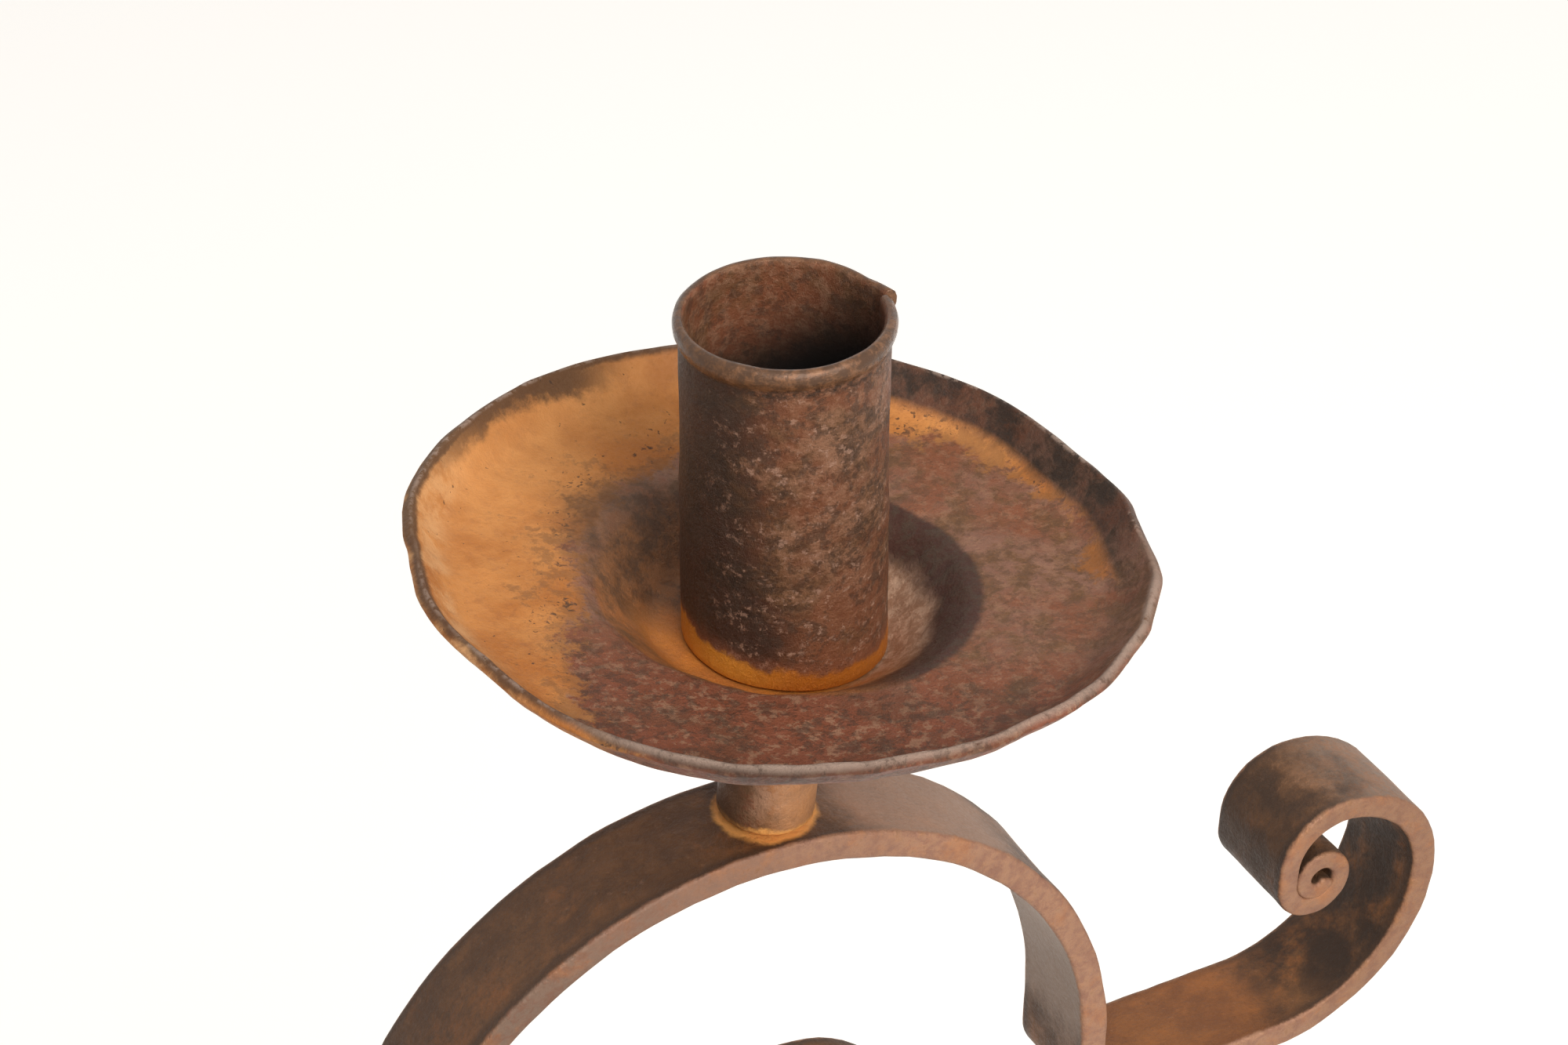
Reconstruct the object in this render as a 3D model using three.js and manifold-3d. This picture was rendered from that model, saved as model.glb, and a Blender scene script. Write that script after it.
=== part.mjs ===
// A three-light table candelabra forged from flat bar, with a rolled cup and a drip pan on each light.
// Millimetres, +Z up, the arms lie along X and the front is -Y. The origin is on the table, under the column's axis.
import * as THREE from "three";
import { mergeVertices } from "three/addons/utils/BufferGeometryUtils.js";
import Module from "manifold-3d";

const wasm = await Module();
wasm.setup();

// Clearances between pieces
const SEAT_GAP = 0.3; // between two faces that rest on each other
const HOLE_GAP = 0.3; // all round a rivet or a tenon in its hole
const TURN_GAP = 0.4; // between the turns of a rolled eye

// Flat bar, which every bent piece is made of
const BAR_WIDTH = 16;
const BAR_THICK = 4.2;
const BAR_EDGE = 0.5; // worn corner
const SCROLL_THICK = 3.1; // drawn out where a scroll's eye begins
const TIP_THICK = 1.4; // hammered to this at the very end
const EYE_HOLE_R = 0.6;
const EYE_LAP_DEG = 250; // how far a rolled eye laps inside itself past one full turn
const TAB_BEND_R = 6; // centreline of the bend between a tab and its bar
const LEG_BEND_R = 5; // centreline of the tight bend at the foot of an arch

// Column
const COLUMN_SIDE = BAR_WIDTH; // so that tabs on neighbouring faces clear each other
const COLUMN_CHAMFER = 1.2;
const COLUMN_FOOT_Z = 58;
const COLUMN_TIP_H = 6; // tapered point below the legs
const COLUMN_TIP_SIDE = 7;
const NECK_H = 15; // round neck under the middle pan

// Arms
const RUN_Z = 235; // centreline of an arm's level run above the table
const ARM_TAB = 34;
const ARCH_R = 51.5; // centreline
const ARCH_X = 143; // arch centre from the column's axis
const ARCH_LEG = 7.5; // straight stretch between an arch and its tight bend
const OUTER_RUN = 26.5;
const HEAD_LEAN_DEG = 5.2; // the light sits this far round the arch, outside its crown
const HEAD_TIP_DEG = 1.1; // and leans this much to the front
const DRAW_START_DEG = 15; // the bar is drawn thinner from this far past the crown
const SWEEP_R = 23; // quarter turns of the end scroll, centreline
const CREST_R = 15.5;
const NECK_TURN_R = 8;
const EYE_STEM = 2.5;

// Brackets under the arms
const BRACKET_TAB = 34;
const BRACKET_SHOULDER_R = 54;
const COLLAR_L = 9;
const COLLAR_ROOM = 1.5; // straight bar past each side of the collar
const COLLAR_WALL = 2.4;
const VOLUTE_X = 8.5; // from the arch's centre, outwards
const VOLUTE_DROP = 17.1; // from the arch's centre, down
const VOLUTE_LEAD_R = 33;
const VOLUTE_SIDE_R = 26;
const VOLUTE_CREST_R = 20;
const VOLUTE_BACK_R = 15;
const VOLUTE_BELLY_R = 10.5;
const VOLUTE_INNER_R = 7;

// Legs
const LEG_TOP_Z = 76; // centreline of a leg's short run at the column
const LEG_TAB = 34;
const LEG_SHOULDER = 8;
const LEG_ARCH_R = 44;
const FOOT_RUN = 16;
const TOE_R = 12.5;
const TOE_CREST_R = 8.5;
const TOE_NECK_R = 5.6;

// Rivets
const RIVET_R = 2.6;
const RIVET_HEAD_R = 4.6;
const RIVET_HEAD_H = 2.4;
const RIVET_PITCH = 17;
const LEG_RIVET_STEP = 7; // the front pair sits this much below the side pair, so the shanks clear each other

// Stems and tenons under the lights
const STEM_R = 6.3;
const STEM_L = 24.7;
const TENON_R = 3;
const TENON_HEAD_R = 5.2;
const TENON_HEAD_H = 2.4;
const TENON_FLAT_R = 3; // hammered flat on top of a tenon's head

// Pans
const PAN_R = 44.2;
const PAN_SHEET = 1.5;
const PAN_HOLE_OFF = [1.3, -1.15]; // the hole is punched off the pan's centre
const PAN_FLOOR_R = 14.5;
const WELL_R = 23.5;
const WELL_DEPTH = 7.4;
const PAN_BAND_R = 39; // where the upturned rim starts
const PAN_BAND_RISE = 1.5; // from the well's edge to the rim's start
const PAN_RIM_RISE = 5.1;
const RIM_WAVES = [
  // waves round the rim, how far they move it, and where the first crest stands
  [2, 0.72, 100],
  [3, 0.29, -99],
  [4, 0.46, -172],
  [6, 0.1, -91],
];

// Cups, for a 22 mm candle
const CUP_R = 12.2;
const CUP_WALL = 1;
const CUP_H = 45;
const BEAD_H = 3;
const BEAD_OUT = 0.65;
const BEAD_NECK = 0.3; // plain wall turns outwards this far below the bead
const SEAM_W = 0.6;
const SEAM_LIP = 0.8; // the bead's cut end stands out this far at the seam
const SEAM_LIP_DEG = 9;
const CUP_UPRIGHT_DEG = 5.7; // the side cups are bent back from the light's lean
const CUP_FLOOR_H = 2;

// The middle light
const MIDDLE_RISE = 60; // its pan's floor above the side pans' floors

// Facets
const SAGITTA = 0.21; // most that a facet leaves its arc
const PAN_SIDES = 40;
const CUP_SIDES = 30;
const STEM_SIDES = 16;
const RIVET_SIDES = 10;

const rad = THREE.MathUtils.degToRad;

// Forged iron with thin rust, darker or more orange from piece to piece
const iron = (color, roughness = 0.72) =>
  new THREE.MeshStandardMaterial({ color, roughness, metalness: 0.55 });
const DARK_IRON = 0x5a4438;
const WARM_IRON = 0x6d4a38;
const RUST = 0x8a5a35;

// Solids

function solidOf(geometry) {
  const plain = geometry.index ? geometry.toNonIndexed() : geometry.clone();
  plain.deleteAttribute("normal");
  plain.deleteAttribute("uv");
  const merged = mergeVertices(plain, 1e-3);
  const vertProperties = merged.attributes.position.array;
  const triVerts = new Uint32Array(merged.index.array);
  let solid = new wasm.Manifold(new wasm.Mesh({ numProp: 3, vertProperties, triVerts }));
  if (solid.volume() < 0) {
    for (let i = 0; i < triVerts.length; i += 3) {
      [triVerts[i + 1], triVerts[i + 2]] = [triVerts[i + 2], triVerts[i + 1]];
    }
    solid = new wasm.Manifold(new wasm.Mesh({ numProp: 3, vertProperties, triVerts }));
  }
  return solid;
}

function geometryOf(solid) {
  const mesh = solid.getMesh();
  const geometry = new THREE.BufferGeometry();
  geometry.setAttribute("position", new THREE.BufferAttribute(mesh.vertProperties, mesh.numProp));
  geometry.setIndex(new THREE.BufferAttribute(mesh.triVerts, 1));
  geometry.computeVertexNormals();
  return geometry;
}

// A piece cut by round holes, each a geometry that is already in place
function drilled(geometry, cutters) {
  let solid = solidOf(geometry);
  for (const cutter of cutters) {
    solid = solid.subtract(solidOf(cutter));
  }
  return geometryOf(solid);
}

// A closed profile of [radius, height] pairs turned about Z
function turned(profile, sides) {
  const points = profile.map(([r, z]) => new THREE.Vector2(r, z));
  return new THREE.LatheGeometry(points, sides).rotateX(Math.PI / 2);
}

// A drill along Z, centred at the origin
function drill(radius, length) {
  return new THREE.CylinderGeometry(radius, radius, length, RIVET_SIDES).rotateX(Math.PI / 2);
}

// Half of a domed head as profile points, from its rim on height z up to a flat of the given radius
function domed(radius, height, flat, z) {
  const steps = 2;
  const points = [];
  for (let i = 0; i <= steps; i += 1) {
    const angle = (Math.PI / 2) * (i / steps);
    points.push([flat + (radius - flat) * Math.cos(angle), z + height * Math.sin(angle)]);
  }
  return points;
}

// Bent flat bar: its centreline in the XZ plane, walked from one end to the other
class BarPath {
  constructor(x, z, headingDeg) {
    this.heading = rad(headingDeg);
    this.points = [{ x, z, heading: this.heading, s: 0 }];
    this.thickness = [[0, BAR_THICK]]; // [distance along the bar, thickness] pairs
  }

  get end() {
    return this.points[this.points.length - 1];
  }

  step(length, turn) {
    const { x, z, s } = this.end;
    const middle = this.heading + turn / 2;
    this.heading += turn;
    this.points.push({
      x: x + length * Math.cos(middle),
      z: z + length * Math.sin(middle),
      heading: this.heading,
      s: s + length,
    });
  }

  straight(length) {
    this.step(length, 0);
    return this;
  }

  // Turns left for a positive angle, on a radius that changes evenly from one end to the other
  bend(turnDeg, radius, endRadius = radius) {
    const facet = 2 * Math.acos(1 - SAGITTA / Math.max(radius, endRadius));
    const turn = rad(turnDeg);
    const steps = Math.ceil(Math.abs(turn) / facet);
    for (let i = 0; i < steps; i += 1) {
      const r = radius + ((endRadius - radius) * (i + 0.5)) / steps;
      const chord = 2 * r * Math.sin(Math.abs(turn) / steps / 2);
      this.step(chord, turn / steps);
    }
    return this;
  }

  // The bar has this thickness here, and changes evenly from one such place to the next
  thick(thickness) {
    this.thickness.push([this.end.s, thickness]);
    return this;
  }

  // A rolled eye, from a short straight stem to its lapped end
  eye(stem) {
    const inner = EYE_HOLE_R + TIP_THICK / 2;
    const outer = inner + (SCROLL_THICK + TIP_THICK) / 2 + TURN_GAP;
    return this.straight(stem)
      .thick(SCROLL_THICK)
      .bend(180, outer)
      .thick(SCROLL_THICK)
      .bend(180, outer, inner)
      .thick(TIP_THICK)
      .bend(EYE_LAP_DEG, inner)
      .thick(TIP_THICK);
  }

  thickAt(s) {
    const next = this.thickness.findIndex(([place]) => place > s);
    if (next < 0) {
      return this.thickness[this.thickness.length - 1][1];
    }
    const [s0, thick0] = this.thickness[next - 1];
    const [s1, thick1] = this.thickness[next];
    return THREE.MathUtils.mapLinear(s, s0, s1, thick0, thick1);
  }

  // The bar's solid, across BAR_WIDTH with the path in its middle plane
  geometry() {
    const side = (sign) =>
      this.points.map(({ x, z, heading, s }) => {
        const half = (sign * this.thickAt(s)) / 2;
        return new THREE.Vector2(x - half * Math.sin(heading), z + half * Math.cos(heading));
      });
    const outline = new THREE.Shape([...side(-1), ...side(1).reverse()]);
    return new THREE.ExtrudeGeometry(outline, {
      depth: BAR_WIDTH - 2 * BAR_EDGE,
      bevelThickness: BAR_EDGE,
      bevelSize: BAR_EDGE,
      bevelOffset: -BAR_EDGE,
      bevelSegments: 1,
      steps: 1,
    })
      .translate(0, 0, BAR_EDGE - BAR_WIDTH / 2)
      .rotateX(Math.PI / 2);
  }
}

// Where a tab's centreline stands beside the column
const TAB_X = COLUMN_SIDE / 2 + SEAT_GAP + BAR_THICK / 2;
const FIRST_RIVET = (ARM_TAB - RIVET_PITCH) / 2; // from the top of an arm's tab

// Levels along the column
const ARM_TAB_TOP = RUN_Z + TAB_BEND_R + ARM_TAB;
const ARM_RIVETS = [ARM_TAB_TOP - FIRST_RIVET, ARM_TAB_TOP - FIRST_RIVET - RIVET_PITCH];
const CONTACT_Z = RUN_Z - BAR_THICK - SEAT_GAP; // a bracket's centreline under the level run
const BRACKET_FOOT = CONTACT_Z - BRACKET_SHOULDER_R - BRACKET_TAB;
const BRACKET_FIRST = BRACKET_FOOT + (BRACKET_TAB - RIVET_PITCH) / 2;
const BRACKET_RIVETS = [BRACKET_FIRST, BRACKET_FIRST + RIVET_PITCH];
const LEG_TAB_TOP = LEG_TOP_Z + TAB_BEND_R + LEG_TAB;
const LEG_FIRST = LEG_TAB_TOP - (LEG_TAB - RIVET_PITCH - LEG_RIVET_STEP) / 2;
const SIDE_LEG_RIVETS = [LEG_FIRST, LEG_FIRST - RIVET_PITCH];
const FRONT_LEG_RIVETS = SIDE_LEG_RIVETS.map((z) => z - LEG_RIVET_STEP);

// Levels inside a light, from the face that its stem stands on
const PAN_UNDER = STEM_L + 2 * SEAT_GAP;
const PAN_FLOOR = PAN_UNDER + PAN_SHEET;
const CUP_FOOT = PAN_FLOOR + SEAT_GAP;
const CUP_FLOOR_TOP = CUP_FOOT + CUP_FLOOR_H;
const TENON_HEAD = CUP_FLOOR_TOP + SEAT_GAP;

// The arches
const ARCH_Z = RUN_Z + LEG_BEND_R + ARCH_LEG;
const LIGHT_LEAN = rad(HEAD_LEAN_DEG);
const LIGHT_X = ARCH_X + (ARCH_R + BAR_THICK / 2) * Math.sin(LIGHT_LEAN);
const LIGHT_Z = ARCH_Z + (ARCH_R + BAR_THICK / 2) * Math.cos(LIGHT_LEAN);

// The middle light stands on the column's own neck
const MIDDLE_FLOOR = LIGHT_Z + PAN_FLOOR * Math.cos(LIGHT_LEAN) + MIDDLE_RISE;
const MIDDLE_SEAT = MIDDLE_FLOOR - PAN_FLOOR;
const NECK_TOP = MIDDLE_FLOOR - PAN_SHEET - SEAT_GAP;
const SHAFT_TOP = NECK_TOP - NECK_H;

// Column: a square shaft drawn to a blunt point, a round neck and a tenon that is headed over inside the middle cup
function columnGeometry() {
  const square = (side) => {
    const h = side / 2;
    const c = (COLUMN_CHAMFER * side) / COLUMN_SIDE;
    return [
      [h, h - c],
      [h - c, h],
      [c - h, h],
      [-h, h - c],
      [-h, c - h],
      [c - h, -h],
      [h - c, -h],
      [h, c - h],
    ].map(([x, y]) => new THREE.Vector2(x, y));
  };
  const shaft = new THREE.ExtrudeGeometry(new THREE.Shape(square(COLUMN_SIDE)), {
    depth: SHAFT_TOP - COLUMN_FOOT_Z,
    bevelEnabled: false,
  }).translate(0, 0, COLUMN_FOOT_Z);
  const tip = new THREE.ExtrudeGeometry(new THREE.Shape(square(COLUMN_SIDE)), {
    depth: COLUMN_TIP_H,
    bevelEnabled: false,
  }).translate(0, 0, COLUMN_FOOT_Z - COLUMN_TIP_H);
  const spots = tip.attributes.position;
  for (let i = 0; i < spots.count; i += 1) {
    if (spots.getZ(i) < COLUMN_FOOT_Z - COLUMN_TIP_H / 2) {
      const shrink = COLUMN_TIP_SIDE / COLUMN_SIDE;
      spots.setXY(i, spots.getX(i) * shrink, spots.getY(i) * shrink);
    }
  }
  const head = MIDDLE_SEAT + TENON_HEAD;
  const neck = turned(
    [
      [0, SHAFT_TOP - NECK_H / 2],
      [STEM_R, SHAFT_TOP - NECK_H / 2],
      [STEM_R, NECK_TOP],
      [TENON_R, NECK_TOP],
      [TENON_R, head],
      ...domed(TENON_HEAD_R, TENON_HEAD_H, TENON_FLAT_R, head),
      [0, head + TENON_HEAD_H],
    ],
    STEM_SIDES,
  );
  let solid = solidOf(shaft).add(solidOf(tip)).add(solidOf(neck));
  const across = COLUMN_SIDE * 2;
  for (const z of [...ARM_RIVETS, ...BRACKET_RIVETS, ...SIDE_LEG_RIVETS]) {
    const hole = drill(RIVET_R + HOLE_GAP, across).rotateY(Math.PI / 2).translate(0, 0, z);
    solid = solid.subtract(solidOf(hole));
  }
  for (const z of FRONT_LEG_RIVETS) {
    const hole = drill(RIVET_R + HOLE_GAP, across).rotateX(Math.PI / 2).translate(0, 0, z);
    solid = solid.subtract(solidOf(hole));
  }
  return geometryOf(solid);
}

// Holes through a tab that stands on the column's +X face
const tabHoles = (levels) =>
  levels.map((z) =>
    drill(RIVET_R + HOLE_GAP, BAR_THICK * 3).rotateY(Math.PI / 2).translate(TAB_X, 0, z),
  );

// Arm: tab, level run, arch, level run and upturned scroll, all one bar
function armGeometry() {
  const innerRun = ARCH_X - ARCH_R - LEG_BEND_R - TAB_X - TAB_BEND_R;
  const path = new BarPath(TAB_X, ARM_TAB_TOP, -90)
    .straight(ARM_TAB)
    .bend(90, TAB_BEND_R)
    .straight(innerRun)
    .bend(90, LEG_BEND_R)
    .straight(ARCH_LEG)
    .bend(-90 - DRAW_START_DEG, ARCH_R)
    .thick(BAR_THICK)
    .bend(DRAW_START_DEG - 90, ARCH_R)
    .straight(ARCH_LEG)
    .bend(90, LEG_BEND_R)
    .straight(OUTER_RUN)
    .bend(90, SWEEP_R)
    .bend(90, CREST_R)
    .bend(90, NECK_TURN_R)
    .eye(EYE_STEM);
  const tenonHole = drill(TENON_R + HOLE_GAP, BAR_THICK * 4)
    .rotateY(LIGHT_LEAN)
    .translate(LIGHT_X, 0, LIGHT_Z);
  return drilled(path.geometry(), [...tabHoles(ARM_RIVETS), tenonHole]);
}

// Bracket: tab, quarter arch up to the arm, and a volute that curls up inside the arm's arch
function bracketGeometry() {
  const contact = COLLAR_L + 2 * COLLAR_ROOM;
  const startX = TAB_X + BRACKET_SHOULDER_R + contact;
  const endX = ARCH_X + VOLUTE_X + VOLUTE_CREST_R - VOLUTE_SIDE_R;
  const endZ = ARCH_Z - VOLUTE_DROP - VOLUTE_SIDE_R;
  const along = endX - startX;
  const drop = CONTACT_Z - endZ;
  const swing = 2 * Math.atan2(drop, along);
  const swingDeg = THREE.MathUtils.radToDeg(swing);
  const dipR = along / Math.sin(swing) - VOLUTE_LEAD_R;
  const path = new BarPath(TAB_X, BRACKET_FOOT, 90)
    .straight(BRACKET_TAB)
    .bend(-90, BRACKET_SHOULDER_R)
    .straight(contact)
    .thick(BAR_THICK)
    .bend(-swingDeg, dipR)
    .bend(swingDeg, VOLUTE_LEAD_R)
    .bend(90, VOLUTE_SIDE_R)
    .bend(90, VOLUTE_CREST_R)
    .bend(90, VOLUTE_BACK_R)
    .bend(90, VOLUTE_BELLY_R)
    .bend(90, VOLUTE_INNER_R)
    .eye(0.5);
  return drilled(path.geometry(), tabHoles(BRACKET_RIVETS));
}

// Collar: a band closed round the bracket and the arm where they run together
function collarGeometry() {
  const halfY = BAR_WIDTH / 2 + SEAT_GAP;
  const low = CONTACT_Z - BAR_THICK / 2 - SEAT_GAP;
  const high = RUN_Z + BAR_THICK / 2 + SEAT_GAP;
  const box = (grow) =>
    [
      [-halfY - grow, low - grow],
      [halfY + grow, low - grow],
      [halfY + grow, high + grow],
      [-halfY - grow, high + grow],
    ].map(([y, z]) => new THREE.Vector2(y, z));
  const band = new THREE.Shape(box(COLLAR_WALL));
  band.holes.push(new THREE.Path(box(0)));
  const edge = BAR_EDGE;
  return new THREE.ExtrudeGeometry(band, {
    depth: COLLAR_L - 2 * edge,
    bevelThickness: edge,
    bevelSize: edge,
    bevelOffset: -edge,
    bevelSegments: 1,
  })
    .translate(0, 0, edge)
    .rotateX(Math.PI / 2)
    .rotateZ(Math.PI / 2)
    .translate(TAB_X + BRACKET_SHOULDER_R + COLLAR_ROOM, 0, 0);
}

// Leg: tab, quarter arch, foot on the table and rolled toe
function legGeometry(rivets) {
  const footZ = BAR_THICK / 2;
  const path = new BarPath(TAB_X, LEG_TAB_TOP, -90)
    .straight(LEG_TAB)
    .bend(90, TAB_BEND_R)
    .straight(LEG_SHOULDER)
    .bend(-90, LEG_ARCH_R)
    .straight(LEG_TOP_Z - LEG_ARCH_R - LEG_BEND_R - footZ)
    .bend(90, LEG_BEND_R)
    .straight(FOOT_RUN)
    .thick(BAR_THICK)
    .bend(90, TOE_R)
    .bend(110, TOE_CREST_R)
    .bend(90, TOE_NECK_R)
    .eye(0.5);
  return drilled(path.geometry(), tabHoles(rivets));
}

// Rivet through two tabs and the column between them, with a dome at each end
function rivetGeometry() {
  const reach = COLUMN_SIDE / 2 + BAR_THICK + 2 * SEAT_GAP;
  const dome = domed(RIVET_HEAD_R, RIVET_HEAD_H, 0, reach);
  const half = [[RIVET_R, reach], ...dome];
  const mirrored = half.map(([r, z]) => [r, -z]).reverse();
  return turned([...mirrored, ...half], RIVET_SIDES);
}

// Stem: a round spacer with a tenon at each end, headed over under the arch and inside the cup
function stemGeometry() {
  const hollow = TENON_HEAD_R ** 2 / (2 * (ARCH_R - BAR_THICK / 2)); // the arch falls away under the head
  const low = -BAR_THICK - SEAT_GAP - hollow;
  const lowDome = domed(TENON_HEAD_R, TENON_HEAD_H, TENON_FLAT_R, 0).map(([r, z]) => [r, low - z]);
  return turned(
    [
      [0, low - TENON_HEAD_H],
      ...lowDome.reverse(),
      [TENON_R, low],
      [TENON_R, SEAT_GAP],
      [STEM_R, SEAT_GAP],
      [STEM_R, SEAT_GAP + STEM_L],
      [TENON_R, SEAT_GAP + STEM_L],
      [TENON_R, TENON_HEAD],
      ...domed(TENON_HEAD_R, TENON_HEAD_H, TENON_FLAT_R, TENON_HEAD),
      [0, TENON_HEAD + TENON_HEAD_H],
    ],
    STEM_SIDES,
  );
}

// The far side of a sheet: a profile moved by the sheet's thickness, square to itself
function offset(profile, distance) {
  return profile.map(([r, z], i) => {
    const [r0, z0] = profile[Math.max(i - 1, 0)];
    const [r1, z1] = profile[Math.min(i + 1, profile.length - 1)];
    const length = Math.hypot(r1 - r0, z1 - z0);
    return [r + ((z1 - z0) / length) * distance, z - ((r1 - r0) / length) * distance];
  });
}

// Pan: hammered sheet with a sunk well and an upturned, uneven rim
function panGeometry(turnDeg) {
  const bandZ = WELL_DEPTH + PAN_BAND_RISE;
  const top = [
    [0, 0],
    [PAN_FLOOR_R, 0],
    [THREE.MathUtils.lerp(PAN_FLOOR_R, WELL_R, 0.65), WELL_DEPTH * 0.72],
    [WELL_R, WELL_DEPTH],
    [PAN_BAND_R, bandZ],
    [THREE.MathUtils.lerp(PAN_BAND_R, PAN_R, 0.45), bandZ + PAN_RIM_RISE * 0.33],
    [PAN_R, bandZ + PAN_RIM_RISE],
  ];
  const under = offset(top, PAN_SHEET);
  const geometry = turned([...under, ...top.reverse()], PAN_SIDES);
  const spots = geometry.attributes.position;
  const point = new THREE.Vector3();
  for (let i = 0; i < spots.count; i += 1) {
    point.fromBufferAttribute(spots, i);
    const r = Math.hypot(point.x, point.y);
    const angle = Math.atan2(point.y, point.x);
    let wander = 0;
    for (const [waves, size, peakDeg] of RIM_WAVES) {
      wander += size * Math.cos(waves * angle - rad(peakDeg));
    }
    const grow = 1 + (wander / PAN_R) * THREE.MathUtils.smoothstep(r, PAN_FLOOR_R, PAN_R);
    spots.setXYZ(i, point.x * grow, point.y * grow, point.z);
  }
  const [holeX, holeY] = PAN_HOLE_OFF;
  geometry.translate(-holeX, -holeY, 0).rotateZ(rad(turnDeg));
  return drilled(geometry, [drill(TENON_R + HOLE_GAP, PAN_SHEET * 4)]);
}

// Cup: sheet rolled into a tube with its seam left open and its mouth turned over into a bead.
// It can be bent upright on a foot that stays flat on a leaning pan.
function cupGeometry(seamDeg, uprightDeg) {
  const inner = CUP_R - CUP_WALL;
  const geometry = turned(
    [
      [CUP_R, 0],
      [CUP_R, CUP_H - BEAD_H - BEAD_NECK],
      [CUP_R + BEAD_OUT * 0.8, CUP_H - BEAD_H * 0.75],
      [CUP_R + BEAD_OUT, CUP_H - BEAD_H * 0.4],
      [CUP_R + BEAD_OUT * 0.4, CUP_H - BEAD_H * 0.08],
      [CUP_R - CUP_WALL * 0.5, CUP_H],
      [inner, CUP_H - BEAD_H * 0.25],
      [inner, 0],
      [CUP_R, 0],
    ],
    CUP_SIDES,
  );
  const seam = rad(seamDeg);
  const lean = Math.tan(rad(uprightDeg));
  const spots = geometry.attributes.position;
  const point = new THREE.Vector3();
  for (let i = 0; i < spots.count; i += 1) {
    point.fromBufferAttribute(spots, i);
    const past = THREE.MathUtils.euclideanModulo(Math.atan2(point.y, point.x) - seam, 2 * Math.PI);
    const lip = Math.max(0, 1 - past / rad(2 * SEAM_LIP_DEG));
    const high = THREE.MathUtils.smoothstep(point.z, CUP_H - 2 * BEAD_H, CUP_H - BEAD_H);
    const grow = 1 + (SEAM_LIP * lip * high) / CUP_R;
    spots.setXYZ(i, point.x * grow, point.y * grow, point.z);
  }
  const slot = new THREE.BoxGeometry(CUP_R, SEAM_W, CUP_H * 3).translate(CUP_R, 0, 0).rotateZ(seam);
  const cut = drilled(geometry, [slot]);
  const leaning = cut.attributes.position;
  for (let i = 0; i < leaning.count; i += 1) {
    point.fromBufferAttribute(leaning, i);
    const share = point.z / CUP_H;
    leaning.setXYZ(i, point.x - lean * point.z, point.y, point.z + lean * point.x * share);
  }
  return cut;
}

// Cup floor: a disc inside the tube, held down by the tenon's head
function cupFloorGeometry() {
  const outer = CUP_R - CUP_WALL - SEAT_GAP;
  const inner = TENON_R + HOLE_GAP;
  return turned(
    [
      [inner, 0],
      [outer, 0],
      [outer, CUP_FLOOR_H],
      [inner, CUP_FLOOR_H],
      [inner, 0],
    ],
    STEM_SIDES,
  );
}

function piece(name, geometry, material) {
  const mesh = new THREE.Mesh(geometry, material);
  mesh.name = name;
  return mesh;
}

// Pan, cup and cup floor of one light, in a group whose Z runs up the stem from the face it stands on
function light(side, panTurnDeg, seamDeg, uprightDeg) {
  const group = new THREE.Group();
  const pan = piece(`pan_${side}`, panGeometry(panTurnDeg), iron(RUST, 0.8));
  pan.position.z = PAN_FLOOR;
  const cup = piece(`cup_${side}`, cupGeometry(seamDeg, uprightDeg), iron(WARM_IRON));
  cup.position.z = CUP_FOOT;
  const floor = piece(`cup_floor_${side}`, cupFloorGeometry(), iron(DARK_IRON));
  floor.position.z = CUP_FOOT;
  group.add(pan, cup, floor);
  return group;
}

// Everything on one side of the column
function wing(side) {
  const group = new THREE.Group();
  group.add(piece(`arm_${side}`, armGeometry(), iron(WARM_IRON)));
  group.add(piece(`bracket_${side}`, bracketGeometry(), iron(DARK_IRON)));
  group.add(piece(`collar_${side}`, collarGeometry(), iron(DARK_IRON)));
  const head = light(side, 0, -7, CUP_UPRIGHT_DEG);
  head.add(piece(`stem_${side}`, stemGeometry(), iron(RUST)));
  head.position.set(LIGHT_X, 0, LIGHT_Z);
  head.rotation.set(rad(HEAD_TIP_DEG), LIGHT_LEAN, 0);
  group.add(head);
  return group;
}

const candelabra = new THREE.Group();
candelabra.add(piece("column", columnGeometry(), iron(DARK_IRON)));

for (const [side, turn] of [
  ["right", 0],
  ["left", Math.PI],
]) {
  const half = wing(side);
  half.rotation.z = turn;
  candelabra.add(half);
}

const middle = light("middle", 115, 110, 0);
middle.position.z = MIDDLE_SEAT;
candelabra.add(middle);

for (const [side, turn, rivets] of [
  ["right", 0, SIDE_LEG_RIVETS],
  ["back", Math.PI / 2, FRONT_LEG_RIVETS],
  ["left", Math.PI, SIDE_LEG_RIVETS],
  ["front", -Math.PI / 2, FRONT_LEG_RIVETS],
]) {
  const leg = piece(`leg_${side}`, legGeometry(rivets), iron(WARM_IRON));
  leg.rotation.z = turn;
  candelabra.add(leg);
}

for (const [name, levels, turn] of [
  ["arm_rivet", ARM_RIVETS, 0],
  ["bracket_rivet", BRACKET_RIVETS, 0],
  ["side_leg_rivet", SIDE_LEG_RIVETS, 0],
  ["front_leg_rivet", FRONT_LEG_RIVETS, Math.PI / 2],
]) {
  levels.forEach((z, i) => {
    const rivet = piece(`${name}_${i + 1}`, rivetGeometry(), iron(DARK_IRON));
    rivet.rotation.set(0, Math.PI / 2, turn, "ZYX");
    rivet.position.z = z;
    candelabra.add(rivet);
  });
}

export default candelabra;
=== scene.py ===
"""Wrought iron candelabra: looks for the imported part.

Flat bars are drawn out and bent, sheet is sunk and rolled, round bar is turned and headed over,
and each piece stands in for the plain solid of the same name. Lengths are in metres.
"""

import math

import bmesh
import bpy
from bpy.props import FloatProperty, FloatVectorProperty, IntProperty, PointerProperty
from mathutils import Matrix, Vector
from mathutils.kdtree import KDTree


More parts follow.
